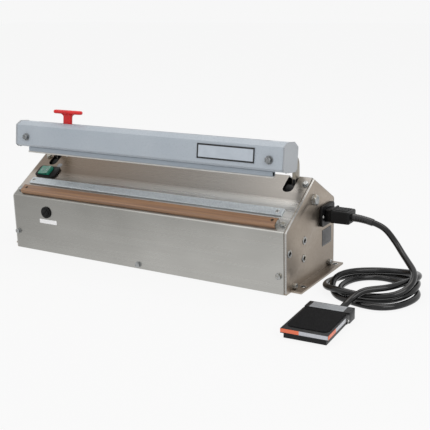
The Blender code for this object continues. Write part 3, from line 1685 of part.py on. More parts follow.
def make_cord(relief_tip, relief_way, looks):
    coil = coil_points()
    start_way = Vector(coil[0] - coil[1]).normalized()
    end_way = Vector(coil[-1] - coil[-2]).normalized()
    first = Vector(coil[0]) + start_way * cord_lead
    last = Vector(coil[-1]) + end_way * cord_lead
    whole = np.vstack([tuple(first), coil, tuple(last)])
    wire_object("cord_coil", whole, cord_radius, coil_sides, looks["cord_rubber"])
    print("least gap of the coil to itself:", least_gap(whole, cord_radius, coil_points_per_loop // 3))
    way = Vector(relief_way).normalized()
    spacing = cord_radius * 4
    route = cord_route(
        Vector(relief_tip) + way * seam, way, cord_run_route, start_way, first + start_way * seam, spacing
    )
    wire_object("cord_run", route, cord_radius, cord_sides, looks["cord_rubber"])
    place = pedal_place()
    entry = place @ Vector((pedal_cord_from_middle, pedal_length / 2 + seam, pedal_cord_height))
    rear_way = place.to_3x3() @ Vector((0, 1, 0))
    route = cord_route(last + end_way * seam, end_way, cord_tail_route, rear_way, entry, spacing)
    wire_object("cord_tail", route, cord_radius, cord_sides, looks["cord_rubber"])


def make_looks():
    values = {
        "steel": ((0.62, 0.60, 0.57), 0.35, 1.0),
        "plate": ((0.56, 0.52, 0.48), 0.4, 1.0),
        "galvanised": ((0.60, 0.61, 0.62), 0.45, 1.0),
        "aluminium": ((0.72, 0.72, 0.73), 0.4, 1.0),
        "arm_paint": ((0.66, 0.69, 0.73), 0.45, 0.3),
        "cap_paint": ((0.64, 0.65, 0.67), 0.5, 0.2),
        "zinc": ((0.62, 0.63, 0.62), 0.35, 1.0),
        "bright_steel": ((0.75, 0.75, 0.75), 0.25, 1.0),
        "dark_steel": ((0.25, 0.25, 0.27), 0.5, 0.8),
        "bronze": ((0.62, 0.45, 0.25), 0.4, 1.0),
        "ptfe": ((0.53, 0.40, 0.30), 0.55, 0.0),
        "silicone": ((0.74, 0.73, 0.71), 0.7, 0.0),
        "label": ((0.93, 0.93, 0.93), 0.4, 0.0),
        "red": ((0.83, 0.16, 0.17), 0.4, 0.0),
        "green": ((0.12, 0.45, 0.35), 0.25, 0.0),
        "black_plastic": ((0.07, 0.07, 0.08), 0.45, 0.0),
        "white_plastic": ((0.85, 0.84, 0.80), 0.5, 0.0),
        "board": ((0.12, 0.33, 0.22), 0.5, 0.0),
        "winding": ((0.55, 0.30, 0.15), 0.4, 0.3),
        "cord_rubber": ((0.06, 0.06, 0.07), 0.45, 0.0),
        "pedal_black": ((0.08, 0.08, 0.09), 0.5, 0.0),
        "pedal_rubber": ((0.06, 0.06, 0.07), 0.8, 0.0),
    }
    return {name: finish(name, *value) for name, value in values.items()}


def main():
    clear_scene()
    looks = make_looks()
    make_covers(looks)
    make_end_plate(-1, looks)
    make_end_plate(1, looks)
    make_base(looks)
    make_pivot(looks)
    tie_pieces, armature_face, armature_middle = make_tie_bar(looks)
    make_magnet(armature_face, armature_middle, looks)
    make_sealing_bar(looks)
    swinging = make_lever(-1, looks) + make_lever(1, looks) + tie_pieces + make_arm(looks)
    sliding = make_cutter(looks)
    arm_axis = carry(swinging, "arm_axis", Matrix.Translation((0, pivot_y, pivot_height)))
    slide_y, slide_z = arm_point(cutter_centre, arm_height)
    slider = carry(sliding, "cutter_axis", Matrix.Translation((cutter_x, slide_y, slide_z)))
    slider.parent = arm_axis
    slider.matrix_parent_inverse = arm_axis.matrix_world.inverted()
    make_switch(looks)
    make_fuse(looks)
    relief_tip, relief_way = make_socket(looks)
    make_mains_inlet(looks)
    make_inside(looks)
    make_springs(looks)
    make_pedal(looks)
    make_cord(relief_tip, relief_way, looks)


main()
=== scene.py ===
"""Impulse sealer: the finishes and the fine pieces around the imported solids.

Metres, +Z up, the same frame as the solids. Sizes written in millimetres are multiplied by MM.
"""

import math

import bmesh
import bpy
import numpy as np
from mathutils import Matrix

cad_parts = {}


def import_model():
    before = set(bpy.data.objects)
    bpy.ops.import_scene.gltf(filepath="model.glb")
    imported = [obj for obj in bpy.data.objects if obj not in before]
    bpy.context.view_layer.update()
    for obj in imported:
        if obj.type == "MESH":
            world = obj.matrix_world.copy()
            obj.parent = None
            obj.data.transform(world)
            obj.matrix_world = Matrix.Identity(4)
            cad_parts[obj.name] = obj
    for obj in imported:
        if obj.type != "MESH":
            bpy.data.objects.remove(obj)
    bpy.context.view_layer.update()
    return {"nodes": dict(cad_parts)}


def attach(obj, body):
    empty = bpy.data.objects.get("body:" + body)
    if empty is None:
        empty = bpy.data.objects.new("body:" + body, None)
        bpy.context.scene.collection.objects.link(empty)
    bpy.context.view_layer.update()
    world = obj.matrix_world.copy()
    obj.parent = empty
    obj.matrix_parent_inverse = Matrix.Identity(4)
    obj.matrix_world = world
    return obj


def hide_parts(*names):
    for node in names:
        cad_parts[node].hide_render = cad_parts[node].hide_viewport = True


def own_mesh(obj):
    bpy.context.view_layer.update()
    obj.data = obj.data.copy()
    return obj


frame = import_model()
nodes = frame["nodes"]
scene = bpy.context.scene
MM = 0.001

# The body, the arm and the cutter, as the solids have them
half_body = 228 * MM
front_y = -75 * MM
rear_y = 75 * MM
front_height = 83.1 * MM
ridge_height = 135.7 * MM
ridge_setback = 84.4 * MM
rear_height = 96.4 * MM
plate_face_x = 231.1 * MM
pivot_y = 6.5 * MM
pivot_z = 107 * MM
opening = math.radians(40)
slope = math.atan2(ridge_height - front_height, ridge_setback)
seam = 0.3 * MM  # the gap that the solids leave between neighbours
arm_depth = 37 * MM
arm_half = 223.8 * MM
arm_wall = 2 * MM
lever_x = 205.5 * MM
slot_depth = 18.5 * MM
cutter_x = -140 * MM
corner_cut = 1.6 * MM
both_sides = ((-1, "left"), (1, "right"))


# Places

def place_at(origin, across, along):
    """Four rows: an origin and the unit ways across, along and out of a flat place."""
    across, along = unit(np.array(across, float)), unit(np.array(along, float))
    return np.array([origin, across, along, np.cross(across, along)])


def world(place, flat, height):
    """Points at flat places and heights: origin + u across + v along + h out."""
    flat = np.asarray(flat, float)
    height = np.broadcast_to(np.asarray(height, float), flat.shape[:-1])
    return place[0] + flat[..., :1] * place[1] + flat[..., 1:2] * place[2] + height[..., None] * place[3]


def unit(vector):
    return vector / np.linalg.norm(vector)


def unit_rows(rows):
    return rows / np.linalg.norm(rows, axis=1, keepdims=True)


def panel_point(along, above):
    y = front_y + along * math.cos(slope) - above * math.sin(slope)
    z = front_height + along * math.sin(slope) + above * math.cos(slope)
    return y, z


def on_panel(x, along):
    """A place on the sloped panel; across is +X, along is up the slope."""
    return place_at((x, *panel_point(along, 0)), (1, 0, 0), (0, math.cos(slope), math.sin(slope)))


def on_front(x, z):
    return place_at((x, front_y, z), (1, 0, 0), (0, 0, 1))


def on_rear(x, z):
    return place_at((x, rear_y, z), (-1, 0, 0), (0, 0, 1))


def on_end(side, y, z, proud=0.0):
    """A place on an end plate's outer face; side is +1 for the right plate."""
    return place_at((side * (plate_face_x + proud), y, z), (0, side, 0), (0, 0, 1))


def arm_point(depth, height):
    """World y and z of a point of the arm's section, swung open about the pivot."""
    y, z = panel_point(3.9 * MM + depth, 19.6 * MM + height)
    dy, dz = y - pivot_y, z - pivot_z
    return (pivot_y + dy * math.cos(opening) + dz * math.sin(opening),
            pivot_z - dy * math.sin(opening) + dz * math.cos(opening))


arm_tilt = slope - opening
depth_way = np.array([0, math.cos(arm_tilt), math.sin(arm_tilt)])
height_way = np.array([0, -math.sin(arm_tilt), math.cos(arm_tilt)])


def on_arm_face(x, height):
    """A place on the arm's front face; across is +X, along is up the face."""
    return place_at((x, *arm_point(0, height)), (1, 0, 0), height_way)


def arm_section_place(x):
    """Outlines in the arm's depth and height, carried along X."""
    return place_at((x, *arm_point(0, 0)), depth_way, height_way)


pedal_turn = math.radians(3.2)
pedal_across = np.array([math.cos(pedal_turn), math.sin(pedal_turn), 0])
pedal_rearward = np.array([-math.sin(pedal_turn), math.cos(pedal_turn), 0])
pedal_middle = np.array([309.4, -147.4, 0]) * MM
pedal = np.array([pedal_middle, pedal_across, pedal_rearward, [0, 0, 1]])


# Outlines

def rounded_rectangle(width, height, radius, steps=6):
    """Four quarter circles joined by straight sides, anticlockwise about (0, 0)."""
    angle = np.linspace(0, math.pi / 2, steps + 1)
    corner = np.stack([np.cos(angle), np.sin(angle)], axis=1) * radius
    quarter_turns = np.array([[[1, 0], [0, 1]], [[0, 1], [-1, 0]],
                              [[-1, 0], [0, -1]], [[0, -1], [1, 0]]])
    middles = np.array([[1, 1], [-1, 1], [-1, -1], [1, -1]]) * (width / 2 - radius, height / 2 - radius)
    return np.concatenate([corner @ turn + middle for turn, middle in zip(quarter_turns, middles)])


def circle(radius, count=32):
    angle = np.arange(count) * 2 * math.pi / count
    return np.stack([np.cos(angle), np.sin(angle)], axis=1) * radius


def hexagon(across_flats, count=48):
    """Points on a hexagon: the flat's distance over the cosine of the angle from its middle."""
    angle = np.arange(count) * 2 * math.pi / count
    from_flat = (angle + math.pi / 6) % (math.pi / 3) - math.pi / 6
    reach = across_flats / 2 / np.cos(from_flat)
    return np.stack([np.cos(angle), np.sin(angle)], axis=1) * reach[:, None]


def shrunk(outline, distance):
    """Each point moved inwards by the distance, square to the two sides that meet there."""
    before = unit_rows(outline - np.roll(outline, 1, axis=0))
    after = unit_rows(np.roll(outline, -1, axis=0) - outline)
    inward = unit_rows(np.stack([-(before + after)[:, 1], (before + after)[:, 0]], axis=1))
    reach = (inward * np.stack([-after[:, 1], after[:, 0]], axis=1)).sum(axis=1, keepdims=True)
    return outline + inward * distance / np.maximum(reach, 0.3)


def rounded_corners(corners, radii, steps=5):
    """A polygon whose corners are arcs: each arc touches both sides that meet at its corner."""
    made = []
    corners = np.asarray(corners, float)
    for index, (corner, radius) in enumerate(zip(corners, radii)):
        before = unit(corners[index - 1] - corner)
        after = unit(corners[(index + 1) % len(corners)] - corner)
        half = math.acos(np.clip(before @ after, -1, 1)) / 2
        if radius == 0 or half > math.pi / 2 - 0.01:
            made.append(corner[None])
            continue
        middle = corner + unit(before + after) * radius / math.sin(half)
        first = corner + before * radius / math.tan(half) - middle
        last = corner + after * radius / math.tan(half) - middle
        share = np.linspace(0, 1, steps + 1)[:, None]
        spread = math.pi - 2 * half
        arc = (first * np.sin((1 - share) * spread) + last * np.sin(share * spread)) / math.sin(spread)
        made.append(middle + arc)
    return np.vstack(made)


# Surfaces

def slab(place, outline, low, high, edge=0.0, steps=3, both=False):
    """Rings of a plate: the outline from low to high, drawn in round a quarter circle at its top
    edge, and at its lower edge too where both is true."""
    quarter = np.linspace(0, math.pi / 2, steps + 1)
    levels = high - edge + edge * np.sin(quarter)
    insets = edge * (1 - np.cos(quarter))
    first = (low + edge - edge * np.sin(quarter[::-1]), insets[::-1]) if both else ([low], [0.0])
    levels = np.concatenate([first[0], levels])
    insets = np.concatenate([first[1], insets])
    return np.stack([world(place, shrunk(outline, inset), level)
                     for inset, level in zip(insets, levels)])


def frame_rings(place, outline, width, low, high):
    """Rings of a flat frame: out at the outline, over the top, and back down inside it."""
    inside = shrunk(outline, width)
    loop = [(outline, low), (outline, high), (inside, high), (inside, low), (outline, low)]
    return np.stack([world(place, flat, level) for flat, level in loop])


def lathe(place, profile, count=32):
    """Rings of a turned piece: each (radius, height) of the profile swept round the place's axis."""
    profile = np.asarray(profile, float)
    return world(place, profile[:, :1, None] * circle(1, count)[None], profile[:, 1:])


def tube(path, radius, sides=16):
    """Rings of a round tube: a circle square to the path at each of its points. The circle's first
    way is level, square to the path's direction."""
    path = np.asarray(path, float)
    way = unit_rows(np.gradient(path, axis=0))
    level = unit_rows(np.cross(way, (0, 0, 1)))
    upward = np.cross(level, way)
    radius = np.broadcast_to(np.asarray(radius, float), (len(path),))
    ring = circle(1, sides)
    return path[:, None] + radius[:, None, None] * (
        ring[None, :, :1] * level[:, None] + ring[None, :, 1:] * upward[:, None])


def coil_spring(low, high, radius, wire, curls, sides=8):
    """Rings of a coil spring: a circle of wire carried along a helix from low to high. The first
    and last curls lie close, and the circle's first way points out from the helix's axis."""
    low, high = np.array(low, float), np.array(high, float)
    axis = unit(high - low)
    across = unit(np.cross(axis, (1, 0, 0)))
    other = np.cross(axis, across)
    turns = np.linspace(0, curls, curls * 20 + 1)
    close = 2.2 * wire / np.linalg.norm(high - low)
    share = np.interp(turns, [0, 1, curls - 1, curls], [0, close, 1 - close, 1])
    angle = 2 * math.pi * turns[:, None]
    outward = np.cos(angle) * across + np.sin(angle) * other
    path = low + share[:, None] * (high - low) + radius * outward
    second = np.cross(unit_rows(np.gradient(path, axis=0)), outward)
    ring = circle(wire, sides)
    return path[:, None] + ring[None, :, :1] * outward[:, None] + ring[None, :, 1:] * second[:, None]


def smooth_curve(marks, steps):
    """The curve that passes through every mark, its slope there half the step between the
    marks before and after, with steps points a stretch."""
    marks = np.asarray(marks, float)
    padded = np.vstack([2 * marks[0] - marks[1], marks, 2 * marks[-1] - marks[-2]])
    share = (np.arange(steps) / steps)[None, :, None]
    before, start, end, after = (padded[i:len(padded) - 3 + i][:, None] for i in range(4))
    body = (start + share * (end - before) / 2
            + share**2 * (before * 2 - start * 5 + end * 4 - after) / 2
            + share**3 * (start * 3 - end * 3 + after - before) / 2)
    return np.vstack([body.reshape(-1, marks.shape[1]), marks[-1:]])


def even(path, spacing):
    """The same line with its points evenly spaced."""
    run = np.concatenate([[0], np.cumsum(np.linalg.norm(np.diff(path, axis=0), axis=1))])
    wanted = np.linspace(0, run[-1], round(run[-1] / spacing) + 1)
    return np.stack([np.interp(wanted, run, path[:, axis]) for axis in range(3)], axis=1)


def placed(name, data):
    """A new object in the scene."""
    made = bpy.data.objects.new(name, data)
    scene.collection.objects.link(made)
    return made


def smooth(mesh, sharp=32):
    """Smooth shading, with edges sharper than this angle left crisp."""
    mesh.shade_smooth()
    mesh.set_sharp_from_angle(angle=math.radians(sharp))


def shell(name, parts, sharp=32):
    """A mesh of closed shells. Each part is an array of rings, ring by point by axis: quads join
    neighbouring rings and a flat face closes each end. Points that fall together are merged."""
    points, faces, first = [], [], 0
    for rings in parts:
        rows, count = rings.shape[:2]
        index = np.arange(rows * count).reshape(rows, count) + first
        after = np.roll(index, -1, axis=1)
        quads = np.stack([index[:-1], after[:-1], after[1:], index[1:]], axis=-1)
        faces += quads.reshape(-1, 4).tolist() + [index[0, ::-1].tolist(), index[-1].tolist()]
        points.append(rings.reshape(-1, 3))
        first += rows * count
    mesh = bpy.data.meshes.new(name)
    mesh.from_pydata(np.vstack(points).tolist(), [], faces)
    shape = bmesh.new()
    shape.from_mesh(mesh)
    bmesh.ops.remove_doubles(shape, verts=shape.verts, dist=0.002 * MM)
    bmesh.ops.recalc_face_normals(shape, faces=shape.faces)
    shape.to_mesh(mesh)
    shape.free()
    smooth(mesh, sharp)
    return mesh


def piece(name, parts, look, body="machine", sharp=32):
    """Puts a mesh of closed shells on a body, with its finish."""
    mesh = shell(name, parts, sharp)
    mesh.materials.append(look)
    made = placed(name, mesh)
    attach(made, body)
    return made


def combined(made, other_parts, operation="DIFFERENCE"):
    """Cuts other shells out of a piece, or adds them to it, and keeps the result as its mesh."""
    tool = placed("tool", shell("tool", other_parts))
    change = made.modifiers.new("change", "BOOLEAN")
    change.operation = operation
    change.solver = "EXACT"
    change.object = tool
    bpy.context.view_layer.update()
    result = bpy.data.meshes.new_from_object(made.evaluated_get(bpy.context.evaluated_depsgraph_get()))
    made.modifiers.clear()
    made.data = result
    smooth(result)
    bpy.data.objects.remove(tool)


# Materials

def linear(colour):
    """An sRGB hex colour as the linear values that a shader takes."""
    values = np.array([int(colour[i:i + 2], 16) for i in (1, 3, 5)]) / 255
    curved = np.where(values > 0.04045, ((values + 0.055) / 1.055) ** 2.4, values / 12.92)
    return (*curved.tolist(), 1.0)


def add(tree, kind, inputs=None, **settings):
    """Adds a node with its settings. An input is a value, or a node and its output's name."""
    made = tree.nodes.new("ShaderNode" + kind)
    for key, value in settings.items():
        setattr(made, key, value)
    for key, value in (inputs or {}).items():
        if isinstance(value, tuple) and isinstance(value[0], bpy.types.Node):
            tree.links.new(value[0].outputs[value[1]], made.inputs[key])
        else:
            made.inputs[key].default_value = value
    return made


def material(name, **sockets):
    """A material with a Principled shader. Returns it with its tree, shader and coordinates."""
    made = bpy.data.materials.new(name)
    made.use_nodes = True
    tree = made.node_tree
    shader = tree.nodes["Principled BSDF"]
    for key, value in sockets.items():
        shader.inputs[key.replace("_", " ")].default_value = value
    where = add(tree, "TexCoord")
    return made, tree, shader, (where, "Object")


def noise_at(tree, where, scale, stretch=(1, 1, 1), detail=3.0, turn=(0, 0, 0)):
    """Noise of so many grains a metre, drawn out along an axis by a small stretch there."""
    mapped = add(tree, "Mapping", {"Vector": where, "Scale": stretch, "Rotation": turn})
    return add(tree, "TexNoise", {"Vector": (mapped, "Vector"), "Scale": scale, "Detail": detail,
                                  "Roughness": 0.55}), "Fac"


def between(tree, fac, low, high, from_low=0.3, from_high=0.7):
    """A number that runs from low to high as a pattern's value runs between two levels."""
    return add(tree, "MapRange", {"Value": fac, "From Min": from_low, "From Max": from_high,
                                  "To Min": low, "To Max": high}), "Result"


def worked(tree, operation, first, second, **settings):
    """The sum, product or larger of two values."""
    return add(tree, "Math", {0: first, 1: second}, operation=operation, **settings), "Value"


def blend_colours(tree, fac, first, second):
    """Two colours mixed by a pattern's value. Each is a hex colour or a node's output."""
    mixed = add(tree, "MixRGB", {"Fac": fac})
    for socket, colour in (("Color1", first), ("Color2", second)):
        if isinstance(colour, str):
            mixed.inputs[socket].default_value = linear(colour)
        else:
            tree.links.new(colour[0].outputs[colour[1]], mixed.inputs[socket])
    return mixed, "Color"


def finish(tree, shader, tone, rough, height, depth, strength):
    """Joins a finish to its shader: its colour, its roughness where a pattern gives it, and bump of a
    real depth from a pattern's height."""
    bump = add(tree, "Bump", {"Height": height, "Distance": depth, "Strength": strength})
    for source, socket in ((tone, "Base Color"), (rough, "Roughness"), ((bump, "Normal"), "Normal")):
        if source:
            tree.links.new(source[0].outputs[source[1]], shader.inputs[socket])


def brushed_sheet(name, light, dark, grain_turn=(0, 0, 0), cloud=9.0, low_rough=0.26, high_rough=0.4,
                  bump=0.5, painted_shade_colour=None):
    """Brushed stainless sheet: long fine scratches, drawn about 1 mm apart so that they show, over
    broad soft clouds. The scratches blur reflections along one way. A painted shade colour, where it
    is given, darkens the sheet low down towards the rear."""
    made, tree, shader, where = material(name, Metallic=1.0)
    scratches = noise_at(tree, where, 260.0, (0.02, 1.0, 1.0), 4.0, grain_turn)
    clouds = noise_at(tree, where, cloud, (0.5, 1.0, 1.0), 3.0, grain_turn)
    broad = blend_colours(tree, between(tree, clouds, 0, 1), dark, light)
    # Painted shade: the sheet is darkened low down towards the rear.
    if painted_shade_colour:
        split = add(tree, "SeparateXYZ", {"Vector": where})
        rearward = between(tree, (split, "Y"), 0.0, 1.0, -0.05, 0.03)
        low = between(tree, (split, "Z"), 0.8, 0.0, 0.02, 0.1)
        both = worked(tree, "MULTIPLY", rearward, low)
        broad = blend_colours(tree, both, broad, painted_shade_colour)
    fine = between(tree, scratches, 0.0, 0.22)
    colour = blend_colours(tree, fine, broad, dark)
    rough = between(tree, scratches, low_rough, high_rough)
    finish(tree, shader, colour, rough, scratches, 0.03 * MM, bump)
    return made


def cover_sheet():
    """The front cover's brushed stainless: long fine scratches, drawn about 1 mm apart so that they
    show, over soft clouds. Painted shade darkens the top left of the front. The panel behind the bar
    has a painted brown reflection of the arm, lighter in a band beside the bar and greyer to the right."""
    made, tree, shader, where = material("brushed stainless front cover", Metallic=1.0)
    split = add(tree, "SeparateXYZ", {"Vector": where})
    scratches = noise_at(tree, where, 260.0, (0.02, 1.0, 1.0), 4.0)
    clouds = noise_at(tree, where, 9.0, (0.6, 1.0, 1.0), 3.0)
    # Painted shade: the front is darker towards its top and left, lighter towards its bottom and right.
    sideways = between(tree, (split, "X"), 0.0, 0.55, -0.24, 0.22)
    downward = between(tree, (split, "Z"), 0.5, 0.0, 0.0, 0.08)
    painted_light_share = worked(tree, "ADD", sideways, downward)
    painted_light_share = worked(tree, "ADD", painted_light_share, between(tree, clouds, -0.25, 0.25), use_clamp=True)
    tone = blend_colours(tree, painted_light_share, "#8f8e8a", "#b3b2ae")
    # Painted reflection of the arm on the panel: dark brown under the arm, lighter beside the bar,
    # greyer towards the right.
    along = between(tree, (split, "X"), 0.0, 1.0, -0.12, 0.1)
    painted_light_band = blend_colours(tree, along, "#b4aba2", "#d6d5d2")
    painted_arm_reflection = blend_colours(tree, along, "#7e7165", "#84817d")
    upward = between(tree, (split, "Y"), 0.0, 1.0, -0.037, -0.026)
    panel = blend_colours(tree, upward, painted_light_band, painted_arm_reflection)
    behind = between(tree, (split, "Y"), 0.0, 1.0, -0.066, -0.056)
    tone = blend_colours(tree, behind, tone, panel)
    fine = between(tree, scratches, 0.0, 0.06)
    tone = blend_colours(tree, fine, tone, "#8a8883")
    finish(tree, shader, tone, between(tree, scratches, 0.24, 0.34), scratches, 0.02 * MM, 0.08)
    return made


def grained(name, colours, drift, skin, rough, depth, strength, **sockets):
    """A finish of two noises, each given by its scale, stretch and detail: a broad one for the drift
    between two colours, and a fine one, or the same, for roughness and a bump of depth millimetres."""
    made, tree, shader, where = material(name, **sockets)
    broad = noise_at(tree, where, *drift)
    fine = noise_at(tree, where, *skin) if skin else broad
    tone = blend_colours(tree, between(tree, broad, 0, 1), *colours)
    finish(tree, shader, tone, between(tree, fine, *rough), fine, depth * MM, strength)
    return made


def satin_paint(name, colour, shade, rough=0.42):
    """Satin powder coat on steel: an even colour with a faint orange peel, 1.5 mm across."""
    return grained(name, (colour, shade), (14.0,), (650.0, (1, 1, 1), 2.0), (rough - 0.05, rough + 0.07),
                   0.02, 0.6, Metallic=0.0, IOR=1.5)


def zinc_plate(name, light, dark, rough=0.3, warm=None):
    """Zinc plated steel: cool grey with a faint milky mottle, a few millimetres across."""
    made, tree, shader, where = material(name, Metallic=1.0)
    mottle = noise_at(tree, where, 320.0)
    tone = blend_colours(tree, between(tree, mottle, 0, 1), dark, light)
    if warm:
        tint = noise_at(tree, where, 110.0)
        tone = blend_colours(tree, between(tree, tint, 0, 0.6, 0.45, 0.7), tone, warm)
    finish(tree, shader, tone, between(tree, mottle, rough - 0.05, rough + 0.12), mottle, 0.01 * MM, 0.5)
    return made


def galvanised_strip():
    """Hot dipped galvanised strip: crystals about 1 mm across, each its own grey."""
    made, tree, shader, where = material("galvanised strip", Metallic=0.9)
    cells = add(tree, "TexVoronoi", {"Vector": where, "Scale": 900.0, "Randomness": 1.0})
    value = add(tree, "SeparateColor", {"Color": (cells, "Color")})
    grain = noise_at(tree, where, 900.0)
    tone = blend_colours(tree, (value, "Red"), "#adb3b8", "#cad0d3")
    tone = blend_colours(tree, between(tree, grain, 0, 0.5), tone, "#bbc2c6")
    rough = between(tree, (value, "Green"), 0.34, 0.56, 0, 1)
    finish(tree, shader, tone, rough, (value, "Red"), 0.02 * MM, 0.5)
    return made


def coated_glass_cloth():
    """Brown coated glass cloth tape: a plain weave with threads about 0.5 mm apart, drawn 2 mm
    apart so that it shows, and long darker streaks where it is pulled over the bar."""
    made, tree, shader, where = material("coated glass cloth", Metallic=0.0, Coat_Weight=0.3,
                                         Coat_Roughness=0.28)
    threads = [add(tree, "TexWave", {"Vector": where, "Scale": 160.0, "Distortion": 1.2, "Detail": 1.0,
                                     "Detail Scale": 2.0}, bands_direction=way) for way in ("X", "Y")]
    weave = worked(tree, "MULTIPLY", (threads[0], "Fac"), (threads[1], "Fac"))
    streaks = noise_at(tree, where, 520.0, (0.012, 1, 1), 2.0)
    tone = blend_colours(tree, between(tree, streaks, 0, 1, 0.4, 0.6), "#7b5a42", "#96704f")
    tone = blend_colours(tree, between(tree, weave, 0, 0.35, 0, 1), tone, "#72543d")
    finish(tree, shader, tone, between(tree, weave, 0.36, 0.55, 0, 1), weave, 0.05 * MM, 0.6)
    return made


def moulded(name, colour, shade, rough=0.4, grain=900.0, depth=0.02, **sockets):
    """Moulded plastic: one colour through, with a spark-eroded grain about 1 mm across."""
    return grained(name, (colour, shade), (60.0, (1, 0.4, 1)), (grain, (1, 1, 1), 2.0),
                   (rough - 0.06, rough + 0.08), depth, 0.6, Metallic=0.0, IOR=1.5, **sockets)


def pebbled_rubber():
    """Moulded rubber pad: close round pebbles about 1.2 mm across, dull with greyed tops."""
    made, tree, shader, where = material("pebbled rubber", Metallic=0.0, IOR=1.5,
                                         Specular_IOR_Level=0.12, Roughness=0.78)
    pebbles = add(tree, "TexVoronoi", {"Vector": where, "Scale": 850.0, "Randomness": 0.8})
    fine = noise_at(tree, where, 2500.0)
    tone = blend_colours(tree, between(tree, (pebbles, "Distance"), 1, 0, 0.1, 0.6),
                         "#0b0b0c", "#1c1c1e")
    tone = blend_colours(tree, between(tree, fine, 0, 0.5), tone, "#101011")
    height = between(tree, (pebbles, "Distance"), 1, 0, 0.0, 0.6)
    finish(tree, shader, tone, None, height, 0.25 * MM, 0.8)
    return made


def cord_sheath():
    """Extruded soft PVC sheath: smooth and shiny, with faint marks 1.7 mm long and 8 mm round it.
    Their coordinates are the sheath's own, along it and round it, so the marks follow the cord."""
    made, tree, shader, where = material("extruded sheath", Metallic=0.0, IOR=1.5,
                                         Specular_IOR_Level=0.42)
    lines = add(tree, "UVMap", uv_map="sheath")
    streaks = noise_at(tree, (lines, "UV"), 30.0, (1, 0.1, 1))
    dust = noise_at(tree, where, 380.0)
    tone = blend_colours(tree, between(tree, streaks, 0, 1), "#040405", "#09090a")
    tone = blend_colours(tree, between(tree, dust, 0, 0.2, 0.5, 0.75), tone, "#121214")
    finish(tree, shader, tone, between(tree, streaks, 0.13, 0.22), streaks, 0.03 * MM, 0.5)
    return made


def printed_film(name, colour, shade, rough=0.35):
    """Printed polyester film, as labels are cut from: even, with a faint ripple from its glue, 11 mm
    across."""
    return grained(name, (colour, shade), (90.0,), None, (rough - 0.04, rough + 0.08), 0.03, 0.3,
                   Metallic=0.0, IOR=1.5)


def turned_metal(name, light, dark, rough=0.25):
    """Turned or ground metal: fine rings or lines about 1 mm apart left by the tool."""
    return grained(name, (dark, light), (900.0, (0.1, 1, 1)), None, (rough - 0.05, rough + 0.1),
                   0.01, 0.4, Metallic=1.0)


def across_waves(tree, where, distortion):
    """Lines about 2 mm apart, one behind another along Y."""
    return add(tree, "TexWave", {"Vector": where, "Scale": 160.0, "Distortion": distortion},
               bands_direction="Y"), "Fac"


def stacked_laminations():
    """Punched steel laminations: sheets 0.5 mm thick, one behind another, drawn 2 mm apart."""
    made, tree, shader, where = material("stacked laminations", Metallic=0.8, Roughness=0.5)
    sheets = across_waves(tree, where, 0.3)
    rust = noise_at(tree, where, 70.0)
    tone = blend_colours(tree, between(tree, sheets, 0, 1, 0.2, 0.8), "#2b2b2d", "#55565a")
    tone = blend_colours(tree, between(tree, rust, 0, 0.4, 0.5, 0.8), tone, "#5a4638")
    finish(tree, shader, tone, None, sheets, 0.08 * MM, 0.7)
    return made


def enamelled_wire():
    """Wound enamelled copper: turns 1 mm apart, drawn 2 mm apart, under clear varnish."""
    made, tree, shader, where = material("enamelled wire", Metallic=0.4, Coat_Weight=0.6, Roughness=0.38)
    turns = across_waves(tree, where, 0.6)
    burn = noise_at(tree, where, 50.0)
    tone = blend_colours(tree, between(tree, turns, 0, 1, 0.1, 0.9), "#6e3a1c", "#b4642f")
    tone = blend_colours(tree, between(tree, burn, 0, 0.5), tone, "#8a4a24")
    finish(tree, shader, tone, None, turns, 0.2 * MM, 0.8)
    return made


front_stainless = cover_sheet()
rear_stainless = brushed_sheet("brushed stainless rear cover", "#b2b0aa", "#a09d96", bump=0.2)
# The end plates' last colour is painted shade, low down towards the rear.
plate_steel = brushed_sheet("satin stainless plate", "#b2a79a", "#9f9488",
                            (math.pi / 2, 0, math.pi / 2), 12.0, 0.3, 0.46, 0.25, "#7d7368")
zinc_sheet = zinc_plate("galvanised sheet", "#a9adb0", "#8e9295", 0.42)
fastener_zinc = zinc_plate("zinc plated fastener", "#b2b4b4", "#868889", 0.26, "#aca188")
bolt_steel = zinc_plate("plain steel bolt", "#9b9d9e", "#66696b", 0.2)
lever_zinc = zinc_plate("zinc plated strip", "#aaa69d", "#7f7c75", 0.34, "#9b8f7a")
strip_zinc = galvanised_strip()
arm_coat = satin_paint("satin grey-blue coat", "#a8b0b8", "#a0a9b2", 0.29)
# The arm's grey-blue coat made darker for the rail: painted shade under the arm's lip.
rail_coat_painted_shade = satin_paint("satin grey-blue coat, pressure rail", "#939ca5", "#8b959f", 0.36)
cap_coat = satin_paint("satin grey coat", "#a3a7ab", "#999da2", 0.46)
tape_cloth = coated_glass_cloth()
black_plastic = moulded("black moulded nylon", "#0a0a0b", "#101011", 0.4, Specular_IOR_Level=0.18)
relief_rubber = moulded("shiny black moulded PVC", "#0c0c0e", "#141416", 0.24, 500.0, 0.03,
                        Specular_IOR_Level=0.55)
plug_rubber = moulded("black moulded PVC", "#09090a", "#101011", 0.4, 500.0, 0.04,
                      Specular_IOR_Level=0.22)
pedal_plastic = moulded("black moulded pedal housing", "#0d0e0f", "#151618", 0.36,
                        Specular_IOR_Level=0.25)
red_plastic = moulded("red moulded plastic", "#d81e1e", "#c8181a", 0.34, Specular_IOR_Level=0.4)
green_plastic = moulded("green lens plastic", "#23826a", "#1d745e", 0.2, 300.0, 0.01, Coat_Weight=0.6)
white_plastic = moulded("white moulded nylon", "#dcdad2", "#d0cdc4", 0.45)
board_coat = moulded("green solder mask", "#1f5c3c", "#184b31", 0.35, 200.0, 0.05)
pad_rubber = pebbled_rubber()
sheath = cord_sheath()
white_film = printed_film("white printed film", "#f0f0f0", "#e8e8ea")
plate_film = printed_film("pale blue-grey printed film", "#b4bcc5", "#adb5be", 0.4)
